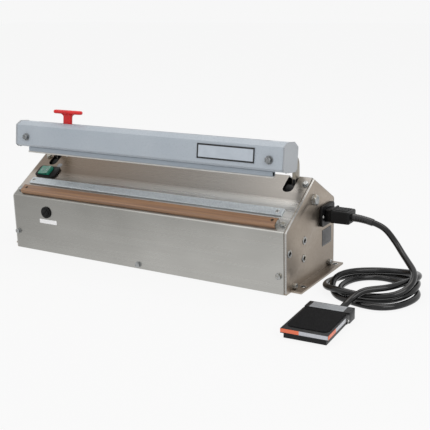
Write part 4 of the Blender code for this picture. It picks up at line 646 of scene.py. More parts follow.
black_film = printed_film("black printed film", "#101112", "#161718")
silver_film = printed_film("silver printed film", "#8d9094", "#84888c", 0.3)
# Pale grey film for the pedal's white stripe: darker than white partly for its print and partly as
# painted shade.
stripe_film = printed_film("pale grey printed film", "#b9bbc1", "#b0b2b9")
grey_film = printed_film("dark grey printed film", "#444445", "#3e3e3f", 0.42)
orange_film = printed_film("orange printed film", "#e0714e", "#d76946")
bright_steel = turned_metal("bright ground steel", "#c8c8c6", "#a2a2a0", 0.2)
dark_steel = stacked_laminations()
mill_aluminium = turned_metal("mill finish aluminium", "#c4c5c6", "#a9abad", 0.34)
# Lighter steel for the painted highlight along the end plates' bent edges.
painted_edge_highlight = turned_metal("steel lightened as painted edge highlight", "#bebdba", "#a5a4a1", 0.36)
bronze = turned_metal("sintered bronze", "#9c7442", "#7d5a31", 0.42)
silicone_rubber = moulded("pale grey silicone", "#c2c1bd", "#b4b3af", 0.6, 300.0, 0.05)
dark_screw = turned_metal("dark countersunk screw", "#4c4238", "#352e28", 0.4)
# Black that stands for the shade inside holes and open ends: painted shade.
painted_hole_shade = moulded("painted shade inside a hole", "#070708", "#0b0b0c", 0.8, Specular_IOR_Level=0.1)
copper_wire = enamelled_wire()


# Finishes of the solids

finishes = (
    # finish, rounding of its edges in millimetres, solids
    (front_stainless, 0.0, "front_cover"),
    (rear_stainless, 0.0, "rear_cover"),
    (plate_steel, 0.25, "end_plate_left end_plate_right"),
    (zinc_sheet, 0.2, "base_plate"),
    (zinc_sheet, 0.3, "magnet_stand"),
    (strip_zinc, 0.35, "film_rest"),
    (fastener_zinc, 0.3, "pivot_bolt_left pivot_bolt_right tie_bar"),
    (lever_zinc, 0.4, "lever_left lever_right"),
    (bolt_steel, 0.25, "arm_bolt_left arm_bolt_right"),
    (bright_steel, 0.3, "pivot_shaft"),
    (bright_steel, 0.0, "heating_band cutter_blade return_spring_left return_spring_right "
                        "pedal_spring"),
    (bright_steel, 0.25, "pedal_pin"),
    (dark_steel, 0.2, "magnet_core armature transformer_core"),
    (mill_aluminium, 0.0, "sealing_bar"),
    (fastener_zinc, 0.0, "band_clamp_left band_clamp_right"),
    (bronze, 0.15, "bush_left bush_right"),
    (tape_cloth, 0.0, "tape_cover"),
    (arm_coat, 0.0, "arm_profile"),
    (rail_coat_painted_shade, 0.0, "pressure_bar"),
    (cap_coat, 0.0, "arm_cap_left arm_cap_right"),
    (silicone_rubber, 0.3, "silicone_strip"),
    (plate_film, 0.0, "name_plate"),
    (black_plastic, 0.4, "switch_bezel mains_inlet slot_guard_left slot_guard_right"),
    (black_plastic, 0.3, "fuse_holder cutter_carriage pedal_microswitch"),
    (black_plastic, 0.25, "fuse_cap"),
    (black_plastic, 0.6, "pedal_socket"),
    (pedal_plastic, 0.5, "pedal_base"),
    (pedal_plastic, 0.4, "pedal_treadle"),
    (red_plastic, 0.0, "cutter_handle"),
    (green_plastic, 0.0, "switch_rocker"),
    (white_plastic, 0.4, "terminal_block"),
    (board_coat, 0.2, "control_board"),
    (copper_wire, 0.0, "magnet_coil transformer_coil"),
    (plug_rubber, 0.0, "plug strain_relief"),
    (sheath, 0.0, "cord_run cord_coil cord_tail"),
    (pad_rubber, 0.4, "pedal_pad"),
)


def dress(name, look, edge):
    """Gives a solid its finish. Its triangles are joined, flat faces are made whole, and its sharp
    edges are rounded by edge millimetres."""
    node = nodes[name]
    node.data.materials.clear()
    node.data.materials.append(look)
    node.data.shade_smooth()
    weld = node.modifiers.new("joined", "WELD")
    weld.merge_threshold = 0.002 * MM
    if edge:
        flat = node.modifiers.new("whole faces", "DECIMATE")
        flat.decimate_type = "DISSOLVE"
        flat.angle_limit = math.radians(0.5)
        rounded = node.modifiers.new("rounded edges", "BEVEL")
        rounded.width = edge * MM
        rounded.segments = 3
        rounded.limit_method = "ANGLE"
        rounded.angle_limit = math.radians(40)
        rounded.harden_normals = True
        rounded.use_clamp_overlap = True
    else:
        parted = node.modifiers.new("crisp edges", "EDGE_SPLIT")
        parted.split_angle = math.radians(32)


for look, edge, names in finishes:
    for node_name in names.split():
        dress(node_name, look, edge)


# Arm

def make_arm():
    """The arm's folded channel: its outer corners are bends of 0.9 mm radius. The slot for the
    cutter and the two gates for the levers are cut out of the one swept section."""
    lip_run, lip_drop, front_top, height = 4.5 * MM, 3.2 * MM, 28.3 * MM, 34 * MM
    top_front, top_rear, rear_top = 9 * MM, 11 * MM, 27.5 * MM
    lip_reach, ledge, ledge_sheet, ledge_reach = 14.5 * MM, 17.5 * MM, 2 * MM, 3.5 * MM
    outer = np.array([(lip_run, -lip_drop), (0, 0), (0, front_top), (top_front, height),
                      (arm_depth - top_rear, height), (arm_depth, rear_top), (arm_depth, 0),
                      (arm_depth - lip_run, -lip_drop)])
    inner = shrunk(outer[::-1], arm_wall)[::-1]
    front_ledge = arm_wall + ledge_reach
    rear_ledge, rear_wall = arm_depth - front_ledge, arm_depth - arm_wall
    corners = [(lip_reach, -lip_drop), *outer, (arm_depth - lip_run, arm_wall - lip_drop),
               (rear_wall, inner[6][1]), (rear_wall, ledge), (rear_ledge, ledge),
               (rear_ledge, ledge + ledge_sheet), (rear_wall, ledge + ledge_sheet), inner[5], inner[4],
               inner[3], inner[2], (arm_wall, ledge + ledge_sheet), (front_ledge, ledge + ledge_sheet),
               (front_ledge, ledge), (arm_wall, ledge), inner[1], inner[0],
               (lip_reach, arm_wall - lip_drop)]
    bend, small = 0.9 * MM, 0.3 * MM
    radii = [small] + [bend] * 7 + [small] * (len(corners) - 8)
    outline = rounded_corners(corners, radii)
    half = arm_half - 2.3 * MM
    rings = np.stack([world(arm_section_place(x), outline, 0) for x in (-half, half)])
    arm = piece("arm_channel", [rings], arm_coat, "arm")
    slot = rounded_rectangle(392 * MM, 6 * MM, 2.9 * MM)
    slot_place = place_at((0, *arm_point(slot_depth, 28 * MM)), (1, 0, 0), depth_way)
    combined(arm, [slab(slot_place, slot, 0, 9 * MM)])
    gates = []
    for side in (-1, 1):
        gate = rounded_rectangle(13.6 * MM, 30 * MM, 0.5 * MM)
        place = place_at((side * lever_x, *arm_point(arm_depth - 7 * MM, 2 * MM)), (1, 0, 0), height_way)
        gates.append(slab(place, gate, -8 * MM, 2.6 * MM))
    combined(arm, gates)
    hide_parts("arm_profile")
    return outer


def make_arm_caps(outer):
    """End plates of the arm: its outline with the corners rounded, drawn in round the outer edge."""
    outline = rounded_corners(outer, [0.9 * MM] * len(outer))[::-1]
    for side, name in both_sides:
        inside = arm_section_place(side * (arm_half - 2 * MM))
        if side < 0:
            inside = inside * np.array([1, 1, 1, -1])[:, None]
        rings = slab(inside, outline[::-1], 0, 2 * MM, 0.7 * MM)
        cap = piece("arm_end_" + name, [rings], cap_coat, "arm")
        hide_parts("arm_cap_" + name)


def make_pressure_bar():
    """The pressure rail under the arm's front lip: a hollow folded section with round lower
    corners, carried along X. Black slabs set in its open ends are painted shade inside them."""
    low, high = -10.3 * MM, -3.5 * MM
    corners = np.array([(5.6 * MM, low), (13.6 * MM, low), (13.6 * MM, high), (5.6 * MM, high)])
    outline = rounded_corners(corners, np.array([2.5, 2.5, 0.4, 0.4]) * MM, 6)
    left, right = -203.2 * MM, 205.5 * MM
    mouth = [(left + 4 * MM, 0.9 * MM), (left, 0.9 * MM), (left, 0.2 * MM), (left + 0.2 * MM, 0.0),
             (right - 0.2 * MM, 0.0), (right, 0.2 * MM), (right, 0.9 * MM), (right - 4 * MM, 0.9 * MM)]
    rings = np.stack([world(arm_section_place(x), shrunk(outline, inset), 0) for x, inset in mouth])
    bar = piece("pressure_rail", [rings], rail_coat_painted_shade, "arm")
    groove = slab(arm_section_place(left - 1 * MM), rounded_rectangle(5.6 * MM, 4 * MM, 0.2 * MM)
                  + (9.6 * MM, low - 0.9 * MM), 0, right - left + 2 * MM)
    combined(bar, [groove])
    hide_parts("pressure_bar")
    # Painted shade: black slabs inside the rail's open ends.
    ends = [slab(arm_section_place(x), shrunk(outline, 1.0 * MM), 0, 1.0 * MM)
            for x in (left + 1.5 * MM, right - 2.5 * MM)]
    piece("pressure_rail_inside", ends, painted_hole_shade, "arm")


def make_lever_sleeves():
    """Black sleeves round the levers where they stand out of the slots in the cover."""
    outline = rounded_rectangle(5.5 * MM, 12.3 * MM, 1.2 * MM)
    for side, name in both_sides:
        place = place_at((side * lever_x, pivot_y, 0), (1, 0, 0), (0, 1, 0))
        piece("lever_sleeve_" + name, [slab(place, outline, 120 * MM, 133.3 * MM, 0.4 * MM, both=True)],
              black_plastic, "arm")


def make_cap_lugs():
    """Three small dark slabs under each of the arm's ends, in the black that stands for shade in holes.
    """
    outline = rounded_rectangle(1.6 * MM, 3.2 * MM, 0.5 * MM, 3)
    for side, name in both_sides:
        x = side * (arm_half - 1 * MM)
        places = [place_at((x, *arm_point(depth * MM, -3.3 * MM)), (1, 0, 0), depth_way)
                  for depth in (9, 15.5, 22)]
        lugs = [slab(place, outline, -0.9 * MM, 0.25 * MM, 0.2 * MM) for place in places]
        piece("cap_lugs_" + name, lugs, painted_hole_shade, "arm")


def make_springs():
    """The two return springs behind the magnet and the pedal's spring."""
    front_end, rear_end, still_end, height = 1.3 * MM, 51.3 * MM, 52 * MM, 76.93 * MM
    for side, name in both_sides:
        x = side * 50 * MM
        coils = coil_spring((x, front_end, height), (x, rear_end, height), 4.2 * MM, 0.7 * MM, 11)
        spring = piece("return_coils_" + name, [coils], bright_steel)
        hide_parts("return_spring_" + name)
        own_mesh(spring)
    foot = pedal_middle - pedal_rearward * 26 * MM
    coils = coil_spring(foot + (0, 0, 2.6 * MM), foot + (0, 0, 9.8 * MM), 3.5 * MM, 0.4 * MM, 4)
    spring = piece("pedal_spring_coils", [coils], bright_steel)
    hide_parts("pedal_spring")
    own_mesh(spring)


arm_outer = make_arm()
make_arm_caps(arm_outer)
make_pressure_bar()
make_lever_sleeves()
make_cap_lugs()
make_springs()


# Cutter handle

def make_handle():
    """A T-shaped handle. The stem is a rounded rectangle carried up the arm's height and widened
    by a quarter circle under the grip; the grip is a long round-ended slab, crowned on top."""
    base = place_at((cutter_x, *arm_point(slot_depth, 0)), (1, 0, 0), depth_way)
    top, grip_height, grip_edge = 53.6 * MM, 5.3 * MM, 2.4 * MM
    stem_low, stem_half, stem_deep, flare = 31.9 * MM, 7.15 * MM, 2.6 * MM, 4.6 * MM
    grip_low = top - grip_height
    rise = np.linspace(0, math.pi / 2, 7)
    levels = [stem_low, grip_low - flare, *(grip_low - flare * (1 - np.sin(rise))), top - grip_edge]
    half = [stem_half, stem_half, *(stem_half + 5.6 * MM * (1 - np.cos(rise))), 12.7 * MM]
    deep = [stem_deep, stem_deep, *(stem_deep + 1.8 * MM * (1 - np.cos(rise))), 4.2 * MM]
    stem = np.stack([world(base, rounded_rectangle(2 * h, 2 * d, min(d, 1.6 * MM) * 0.95), z)
                     for z, h, d in zip(levels, half, deep)])
    plan = rounded_rectangle(50.7 * MM, 13.2 * MM, 6.3 * MM, 10)
    quarter = np.linspace(0, math.pi / 2, 6)
    up = [(grip_low + grip_edge * (1 - math.cos(a)), grip_edge * (1 - math.sin(a))) for a in quarter]
    over = [(top - grip_edge * (1 - math.sin(a)), grip_edge * (1 - math.cos(a))) for a in quarter]
    crown = [(top + 0.15 * MM, 4.0 * MM), (top + 0.2 * MM, 5.2 * MM)]
    grip = np.stack([world(base, shrunk(plan, inset), z) for z, inset in (*up, *over, *crown)])
    handle = piece("red_handle", [stem], red_plastic, "cutter")
    combined(handle, [grip], "UNION")
    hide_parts("cutter_handle")


make_handle()


# Fasteners

socket_y = front_y + 120 * MM
socket_z = 78.5 * MM
flange_top = 4.3 * MM


def hex_head(place, across, height, washer=0.0, washer_sheet=0.0):
    """Shells of a bolt head: a hexagon whose top corners are cut by a cone, on a round washer. Each
    ring is the hexagon held inside a circle, given as a share of the distance across flats."""
    parts = []
    low, edge = washer_sheet, 0.15 * MM
    if washer:
        parts.append(lathe(place, [(0, 0), (washer - edge, 0), (washer, edge), (washer, low - edge),
                                   (washer - edge, low), (0, low)]))
    six = hexagon(across)
    reach = np.linalg.norm(six, axis=1, keepdims=True)
    top = low + height
    rows = ((0.545, low), (0.58, low + 0.25 * MM), (0.58, top - 0.9 * MM), (0.53, top - 0.3 * MM),
            (0.48, top - 0.05 * MM), (0.44, top), (0.30, top), (0.27, top - 0.15 * MM),
            (0.1, top - 0.2 * MM))
    parts.append(np.stack([world(place, six * np.minimum(1, across * share / reach), level)
                           for share, level in rows]))
    return parts


def round_head(place, radius, height, base=0.0, socket=0.0):
    """Shells of a small domed screw head with a six-sided recess in its top."""
    angle = np.linspace(0, math.pi / 2, 6)[:-1]
    dome = [(radius * math.cos(a) ** 0.6 if a else radius, base + height * math.sin(a)) for a in angle]
    rings = list(lathe(place, [(radius, base), *dome], 48))
    six = hexagon(socket or radius * 0.9)
    rings += [world(place, six, base + height), world(place, six, base + height * 0.35),
              world(place, six * 0.02, base + height * 0.3)]
    return [np.stack(rings)]


def screws(name, places, head, sizes, look=fastener_zinc):
    """One piece of equal heads, one at each place. Sizes are the head's, in millimetres."""
    parts = [part for place in places for part in head(place, *[size * MM for size in sizes])]
    return piece(name, parts, look)


def turned_rings(places, section):
    """Rings of closed turned bands: a section of (radius, height) in millimetres at each place."""
    loops = [lathe(place, np.array(section) * MM) for place in places]
    return [np.concatenate([loop, loop[:1]]) for loop in loops]


def front_place(x, z):
    return on_front(x * MM - half_body, z * MM)


def panel_place(x, along):
    return on_panel(x * MM - half_body, along * MM)


def rear_place(x, z):
    return on_rear(x * MM, z * MM)


def make_cover_screws():
    """Screws of 7 mm across flats, each on a washer, through the covers."""
    rows = (("front", front_place, ((3.4, 26.5), (228.5, 6.6), (449, 25))),
            ("panel", panel_place, ((5.8, 12.2), (450.4, 12.2), (11, 86), (451.6, 86))),
            ("rear", rear_place, ((-215, 25), (0, 6.6), (215, 25), (-215, 78), (215, 78))))
    for name, place, spots in rows:
        screws(name + "_cover_screws", [place(*spot) for spot in spots], hex_head, (7, 2.6, 4.4, 0.8))


def make_strip_screws():
    """Countersunk screws through the film rest and the tape, near their ends."""
    places = [panel_place(x, 32.2) for x in (18.9, 434.5)]
    screws("film_rest_screws", places, round_head, (2.9, 0.8, 2.5, 2.2), bright_steel)
    # Painted shade: black discs inside the screws' sockets.
    sockets = [slab(place, circle(1.2 * MM, 24), 3.1 * MM, 3.34 * MM, 0.04 * MM) for place in places]
    piece("film_rest_screw_sockets", sockets, painted_hole_shade)
    places = [panel_place(20.8, 12.4), panel_place(436.2, 13.4)]
    screws("bar_end_screws", places, round_head, (2.2, 0.35, 6.1, 2.4), dark_screw)


def make_plate_edges():
    """A painted highlight along each end plate's edge: a band of lighter steel 0.1 mm over the plate's
    edge, all round it, with the plate's rear and front corners cut off."""
    bottom = 0.5 * MM
    body = np.array([(front_y, bottom), (rear_y, bottom), (rear_y, rear_height),
                     (front_y + ridge_setback, ridge_height), (front_y, front_height)])
    foot_front, foot_rear, rear, ridge, front = shrunk(body, 1.7 * MM)
    outline = np.array([foot_front, foot_rear, rear + unit(foot_rear - rear) * corner_cut,
                        rear + unit(ridge - rear) * corner_cut, ridge,
                        front + unit(ridge - front) * corner_cut,
                        front + unit(foot_front - front) * corner_cut])
    for (side, name), edge in zip(both_sides[::-1], (outline, outline[::-1] * (-1, 1))):
        band = frame_rings(on_end(side, 0, 0), edge, 0.5 * MM, -2.55 * MM, 0.05 * MM)
        piece("plate_edge_" + name, [band], painted_edge_highlight)


def make_end_bolts():
    """Bolts of 7 mm across flats that hold the base tray's ends, two low down on each side."""
    for side, name in both_sides:
        places = [on_end(side, front_y + y * MM, 6.6 * MM) for y in (23, 131.6)]
        screws("base_bolts_" + name, places, hex_head, (7, 4.2))


def make_foot_eyelets():
    """Bright eyelets that line the holes in the two feet."""
    section = ((2.95, 0.2), (3.2, 0.2), (3.2, 2.5), (4.1, 2.55), (4.2, 2.7), (4.0, 2.85), (3.2, 2.85),
               (2.95, 2.7))
    for side, name in both_sides:
        places = [place_at((side * 238.5 * MM, y * MM, 0), (1, 0, 0), (0, 1, 0)) for y in (-39.5, 62.5)]
        piece("foot_eyelets_" + name, turned_rings(places, section), bright_steel)


def make_pivot_bolts():
    """Hexagon bolts of 13 mm across flats that hold the pivot shaft, on a round washer."""
    for side, name in both_sides:
        places = [on_end(side, pivot_y, pivot_z)]
        bolt = screws("pivot_bolt_head_" + name, places, hex_head, (13, 4.6, 7.4, 1.1))
        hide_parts("pivot_bolt_" + name)


def make_rivet_nuts():
    """Three blind rivet nuts in the right end plate: a rounded flange, and a black disc in the threaded
    hole as painted shade.
    """
    places = [on_end(1, front_y + y * MM, z * MM) for y, z in ((54.0, 58.6), (10.6, 52.9), (52.5, 34.7))]
    flange = ((3.0, 0.05), (5.2, 0.05), (5.5, 0.3), (5.35, 0.75), (4.9, 1.0), (3.5, 1.0), (3.1, 0.85),
              (3.0, 0.6))
    piece("rivet_nuts", turned_rings(places, flange), fastener_zinc)
    # Painted shade: a black disc in each threaded hole.
    hole = np.array([(0, 0.1), (3.1, 0.1), (3.1, 0.45), (0, 0.45)]) * MM
    piece("rivet_nut_holes", [lathe(place, hole) for place in places], painted_hole_shade)


def make_socket_screws():
    """The small domed screws that hold the pedal's socket and the mains inlet."""
    places = [on_end(1, socket_y + y * MM, socket_z, flange_top) for y in (-16.4, 16.4)]
    screws("socket_screws", places, round_head, (1.9, 0.9, 0, 1.7), bright_steel)
    places = [rear_place(x, 50) for x in (-190, -150)]
    screws("inlet_screws", places, round_head, (2.4, 1.1, 3.3, 2.0), bright_steel)


make_cover_screws()
make_strip_screws()
make_plate_edges()
make_end_bolts()
make_foot_eyelets()
make_pivot_bolts()
make_rivet_nuts()
make_socket_screws()


# Labels

def make_labels():
    """Bare films: the name plate's dark border, the fuse's label, a round sticker and the rating
    plate with its border."""
    outline = rounded_rectangle(85.6 * MM, 19.6 * MM, 0.6 * MM)
    border = frame_rings(on_arm_face(139.5 * MM, 14.9 * MM), outline, 2.1 * MM, 0.85 * MM, 0.98 * MM)
    piece("name_plate_border", [border], black_film, "arm")
    outline = rounded_rectangle(33 * MM, 6.4 * MM, 0.5 * MM)
    below_fuse = slab(front_place(65.4, 48), outline, 0.02 * MM, 0.2 * MM, 0.08 * MM)
    piece("fuse_label", [below_fuse], white_film)
    sticker = slab(panel_place(42.9, 69.4), circle(4.4 * MM, 40), 0.02 * MM, 0.22 * MM, 0.1 * MM)
    piece("round_sticker", [sticker], silver_film)
    rating = on_end(1, front_y + 124 * MM, 46.0 * MM)
    outline = rounded_rectangle(29 * MM, 22.9 * MM, 1 * MM)
    face = slab(rating, outline, 0.03 * MM, 0.5 * MM, 0.15 * MM)
    piece("rating_plate", [face], grey_film)
    border = frame_rings(rating, shrunk(outline, 1.0 * MM), 0.3 * MM, 0.45 * MM, 0.56 * MM)
    piece("rating_plate_border", [border], silver_film)


def make_rocker_marks():
    """The rocker's pale moulded marks: a bar on the lit side and a ring on the other."""
    tilt = math.radians(6)
    middle = panel_place(28.05, 53)
    across = math.cos(tilt) * middle[1] + math.sin(tilt) * middle[3]
    top = np.array([middle[0] + middle[3] * 1.0 * MM, across, middle[2], np.cross(across, middle[2])])
    bar = rounded_rectangle(0.7 * MM, 4.6 * MM, 0.3 * MM, 3) + (5.0 * MM, 0)
    outer = circle(2.0 * MM) + (-5.0 * MM, 0)
    low, high = 4.2 * MM, 4.85 * MM
    marks = [slab(top, bar, low, high, 0.1 * MM), frame_rings(top, outer, 0.6 * MM, low, high)]
    piece("rocker_marks", marks, stripe_film, "rocker")


make_labels()
make_rocker_marks()


# Plug, strain relief and cord

plug_start = flange_top + seam


def make_plug():
    """The plug: rounded rectangles carried along X. A raised rim stands behind its nose, and its grip
    is a straight block with ridges across its top."""
    place = on_end(1, socket_y, socket_z)
    stations = np.array([
        # along, width, height, rise
        (-11.5, 21.0, 13.0, 0.0), (-0.2, 21.0, 13.0, 0.0), (-0.1, 22.0, 16.4, 0.2),
        (0.8, 22.8, 17.4, 0.3), (5.2, 22.4, 16.6, 0.4), (7.0, 22.6, 16.8, 0.4), (8.0, 24.6, 19.4, 0.9),
        (10.0, 24.6, 19.6, 0.9), (11.0, 24.2, 17.6, 0.0), (31.2, 24.2, 17.2, 0.1),
        (33.4, 23.8, 16.8, 0.1), (34.2, 22.6, 15.6, 0.1), (34.4, 20.6, 13.6, 0.1),
    ]) * MM
    rings = np.stack([
        world(place, rounded_rectangle(width, height, 1.8 * MM) + (0, rise), plug_start + along)
        for along, width, height, rise in stations])
    plug = piece("pedal_plug", [rings], plug_rubber, sharp=35)
    ridges, outline = [], rounded_rectangle(18 * MM, 1.2 * MM, 0.55 * MM, 3)
    for along in np.arange(13.5, 31, 2.2) * MM:
        top = place[0] + place[3] * (plug_start + along) + place[2] * 8.6 * MM
        ridges.append(slab(place_at(top, place[1], place[3]), outline, -0.9 * MM, 0.4 * MM, 0.1 * MM))
    grips = piece("plug_ridges", ridges, plug_rubber)
    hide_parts("plug")
    return plug, grips


def make_relief():
    """The strain relief: a tapered sleeve with five shallow rings, carried along an arc that leaves
    the plug level and droops 14 degrees at its tip: start (1 - t)^2 + bend 2 t (1 - t) + tip t^2."""
    droop = math.radians(14)
    way = np.array([math.cos(droop), 0, -math.sin(droop)])
    plug_face_x = plate_face_x + plug_start
    tip = np.array([plug_face_x + 38.5 * MM + seam, socket_y, socket_z + 2 * MM]) + way * 25.5 * MM
    bend = tip - way * 16 * MM
    start = np.array([plug_face_x + 33 * MM, socket_y, bend[2] - 0.3 * MM])
    share = np.linspace(0, 1, 64)[:, None]
    path = start * (1 - share)**2 + bend * 2 * share * (1 - share) + tip * share**2
    length, first_ring, last_ring, rings, ring_depth = 31, 7, 25, 5, 0.28
    along = share[:, 0] * length
    radius = 5.4 - along * 0.02
    turned = (along - first_ring) / (last_ring - first_ring) * rings * 2 * math.pi
    ringed = (along > first_ring) & (along < last_ring)
    radius -= ring_depth * np.clip(np.sin(turned), 0, 1) * ringed
    relief = piece("relief_sleeve", [tube(path, radius * MM, 32)], relief_rubber,
                   sharp=50)
    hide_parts("strain_relief")
    return relief, tip, way


cord_radius = 4 * MM
cord_lead = 8 * MM
cord_step = 3 * MM
coil_marks = np.array([
    (359.2, 13.8, 37.7), (371.6, -1.5, 32.5), (376.7, -16.1, 28.0), (375.7, -29.7, 22.3),
    (369.5, -40.6, 17.4), (359.4, -48.4, 14.2), (345.6, -52.9, 12.2), (329.7, -55.1, 11.1),
    (314.4, -57.1, 12.2), (299.3, -57.0, 13.4), (283.9, -51.9, 12.1), (269.8, -39.2, 8.7),
    (263.1, -20.3, 6.2), (265.0, -0.2, 4.8), (273.6, 18.0, 4.3), (286.9, 33.1, 4.3),
    (303.2, 44.1, 4.3), (321.3, 49.5, 4.3), (339.7, 47.6, 4.6), (356.5, 37.8, 7.0),
    (369.3, 21.2, 11.0), (375.4, 1.1, 13.2), (374.5, -17.9, 10.8), (368.2, -31.7, 8.2),
    (358.1, -41.1, 6.0), (345.0, -46.5, 4.5), (330.3, -49.6, 4.2), (315.8, -50.8, 4.3),
    (302.6, -47.2, 4.3), (291.5, -38.4, 4.3), (284.1, -24.8, 4.3), (282.7, -7.9, 4.5),
    (287.3, 8.9, 4.8), (296.5, 22.3, 4.6), (308.2, 30.4, 4.3), (321.6, 33.2, 4.3), (336.1, 30.7, 4.3),
    (351.5, 24.2, 4.3), (365.9, 14.2, 4.3), (376.6, 0.9, 4.3), (380.6, -16.2, 4.4),
    (377.0, -36.3, 4.3), (368.3, -54.0, 4.3), (356.1, -64.7, 4.3), (341.1, -68.8, 4.3),
    (324.1, -66.6, 4.2), (307.2, -62.0, 4.3), (292.9, -54.7, 4.2), (283.1, -44.4, 4.4),
    (276.6, -33.4, 6.1), (272.1, -22.0, 8.9), (271.4, -9.4, 11.5), (275.6, 4.4, 13.1),
    (286.3, 19.1, 13.3), (301.4, 31.7, 12.6), (317.8, 40.0, 12.3), (334.8, 42.5, 12.9),
    (352.3, 39.2, 15.3), (365.4, 30.3, 18.2), (372.5, 18.2, 20.6), (373.8, 3.8, 22.1),
    (369.3, -12.5, 22.5), (362.1, -28.8, 22.3), (353.6, -42.2, 21.8), (343.8, -51.5, 21.6)]) * MM
run_marks = np.array([(318.0, 43.8, 67.2), (332.9, 38.8, 53.8), (342.4, 32.1, 45.7)]) * MM
tail_marks = np.array([(325.0, -67.5, 17.6), (319.0, -77.0, 12.0)]) * MM


def stretch(start, start_way, marks, end_way, end):
    """A free stretch of cord: straight for cord_lead at each end, smooth through the marks between."""
    steps = 24
    line = smooth_curve([start, start + start_way * cord_lead, *marks, end + end_way * cord_lead, end],
                        steps)
    return np.vstack([start, line[steps:len(line) - steps], end])


def make_cord(relief_tip, relief_way):
    """The pedal's cord: a round tube along one line, which is the run down from the relief, the coil
    and the tail into the pedal. Its points are made even, then each is drawn to its neighbours."""
    coil = smooth_curve(coil_marks, 6)
    first_way = unit(coil[0] - coil[3])
    last_way = unit(coil[-1] - coil[-4])
    first = coil[0] + first_way * cord_lead
    last = coil[-1] + last_way * cord_lead
    run = stretch(relief_tip + relief_way * seam, relief_way, run_marks, first_way, first)
    entry = (pedal_middle + pedal_across * 9 * MM + pedal_rearward * (44.5 * MM + seam)
             + (0, 0, 6.2 * MM))
    tail = stretch(last, last_way, tail_marks, pedal_rearward, entry)
    path = np.vstack([run, coil, tail])
    keep = np.concatenate([[True], np.linalg.norm(np.diff(path, axis=0), axis=1) > 0.2 * MM])
    path = even(path[keep], cord_step)
    for _ in range(6):
        path[2:-2] = (path[1:-3] + 2 * path[2:-2] + path[3:-1]) / 4
    rings = tube(path, cord_radius, 24)
    cord = piece("pedal_cord", [rings], sheath, sharp=50)
    lay_sheath_map(cord.data, path)
    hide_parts("cord_run", "cord_coil", "cord_tail")


def lay_sheath_map(mesh, path):
    """The sheath's own map: 20 a metre along the cord, and 1 a turn round it."""
    points = np.zeros(len(mesh.vertices) * 3)
    mesh.vertices.foreach_get("co", points)
    points = points.reshape(-1, 3)
    nearest = np.array([np.argmin(((path - point) ** 2).sum(axis=1)) for point in points])
    way = unit_rows(np.gradient(path, axis=0))[nearest]
    level = unit_rows(np.cross(way, (0, 0, 1)))
    upward = np.cross(level, way)
    off = points - path[nearest]
    turn = np.arctan2((off * upward).sum(axis=1), (off * level).sum(axis=1)) / (2 * math.pi)
    loops = np.zeros(len(mesh.loops), int)
    mesh.loops.foreach_get("vertex_index", loops)
    flat = np.stack([nearest[loops] * (20 * cord_step), turn[loops]], axis=1)
    layer = mesh.uv_layers.new(name="sheath")
    layer.data.foreach_set("uv", flat.ravel())


plug, plug_ridges = make_plug()
relief, relief_tip, relief_way = make_relief()
make_cord(relief_tip, relief_way)


# Pedal

def make_pedal_film():
    """Orange and white film on the treadle's skirt, front and sides, and the bare label behind."""
    low, high = 7.5 * MM, 12.0 * MM
    wide, front = 28.35 * MM, -44.5 * MM
    orange, white = [], []
    skirt_front = np.array([pedal_middle + pedal_rearward * front, pedal_across, [0, 0, 1],
                            -pedal_rearward])

    def band(place, start, end):
        middle = np.array([(start + end) / 2, (low + high) / 2])
        flat = rounded_rectangle(abs(end - start), high - low, 0.1 * MM, 2) + middle
        return slab(place, flat, 0.01 * MM, 0.16 * MM, 0.05 * MM, 2)

    split = -6 * MM
    orange.append(band(skirt_front, -wide + 0.15 * MM, split))
    white.append(band(skirt_front, split, wide - 0.15 * MM))
    for side in (-1, 1):
        origin = pedal_middle + pedal_across * side * wide
        place = np.array([origin, pedal_rearward * side, [0, 0, 1], pedal_across * side])
        ends = [front + 0.15 * MM, -20.2 * MM, 11.5 * MM]
        spans = [(side * a, side * b) for a, b in zip(ends[:-1], ends[1:])]
        orange.append(band(place, min(spans[0]), max(spans[0])))
        white.append(band(place, min(spans[1]), max(spans[1])))
    piece("orange_stripe", orange, orange_film, "treadle")
    # The white stripe takes the pale grey film, darkened partly as painted shade.
    piece("white_stripe", white, stripe_film, "treadle")
    label = rounded_rectangle(42.6 * MM, 16.4 * MM, 0.6 * MM) + (-1.4 * MM, 35.0 * MM)
    face = slab(pedal, label, 13.02 * MM, 13.18 * MM, 0.06 * MM)
    piece("pedal_label", [face], silver_film)


def make_pedal_pad():
    """The pebbled pad let into the treadle's top, with its front corners rounded wide."""
    rear, front, half = 25.2 * MM, -36.6 * MM, 25.2 * MM
    corners = np.array([(-half, front), (half, front), (half, rear), (-half, rear)])
    outline = rounded_corners(corners, np.array([7, 7, 1, 1]) * MM, 8)
    cushion = slab(pedal, outline, 12.22 * MM, 13.1 * MM, 0.4 * MM)
    pad = piece("pebbled_pad", [cushion], pad_rubber, "treadle")
    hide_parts("pedal_pad")


make_pedal_film()
make_pedal_pad()


# Floor, light and camera

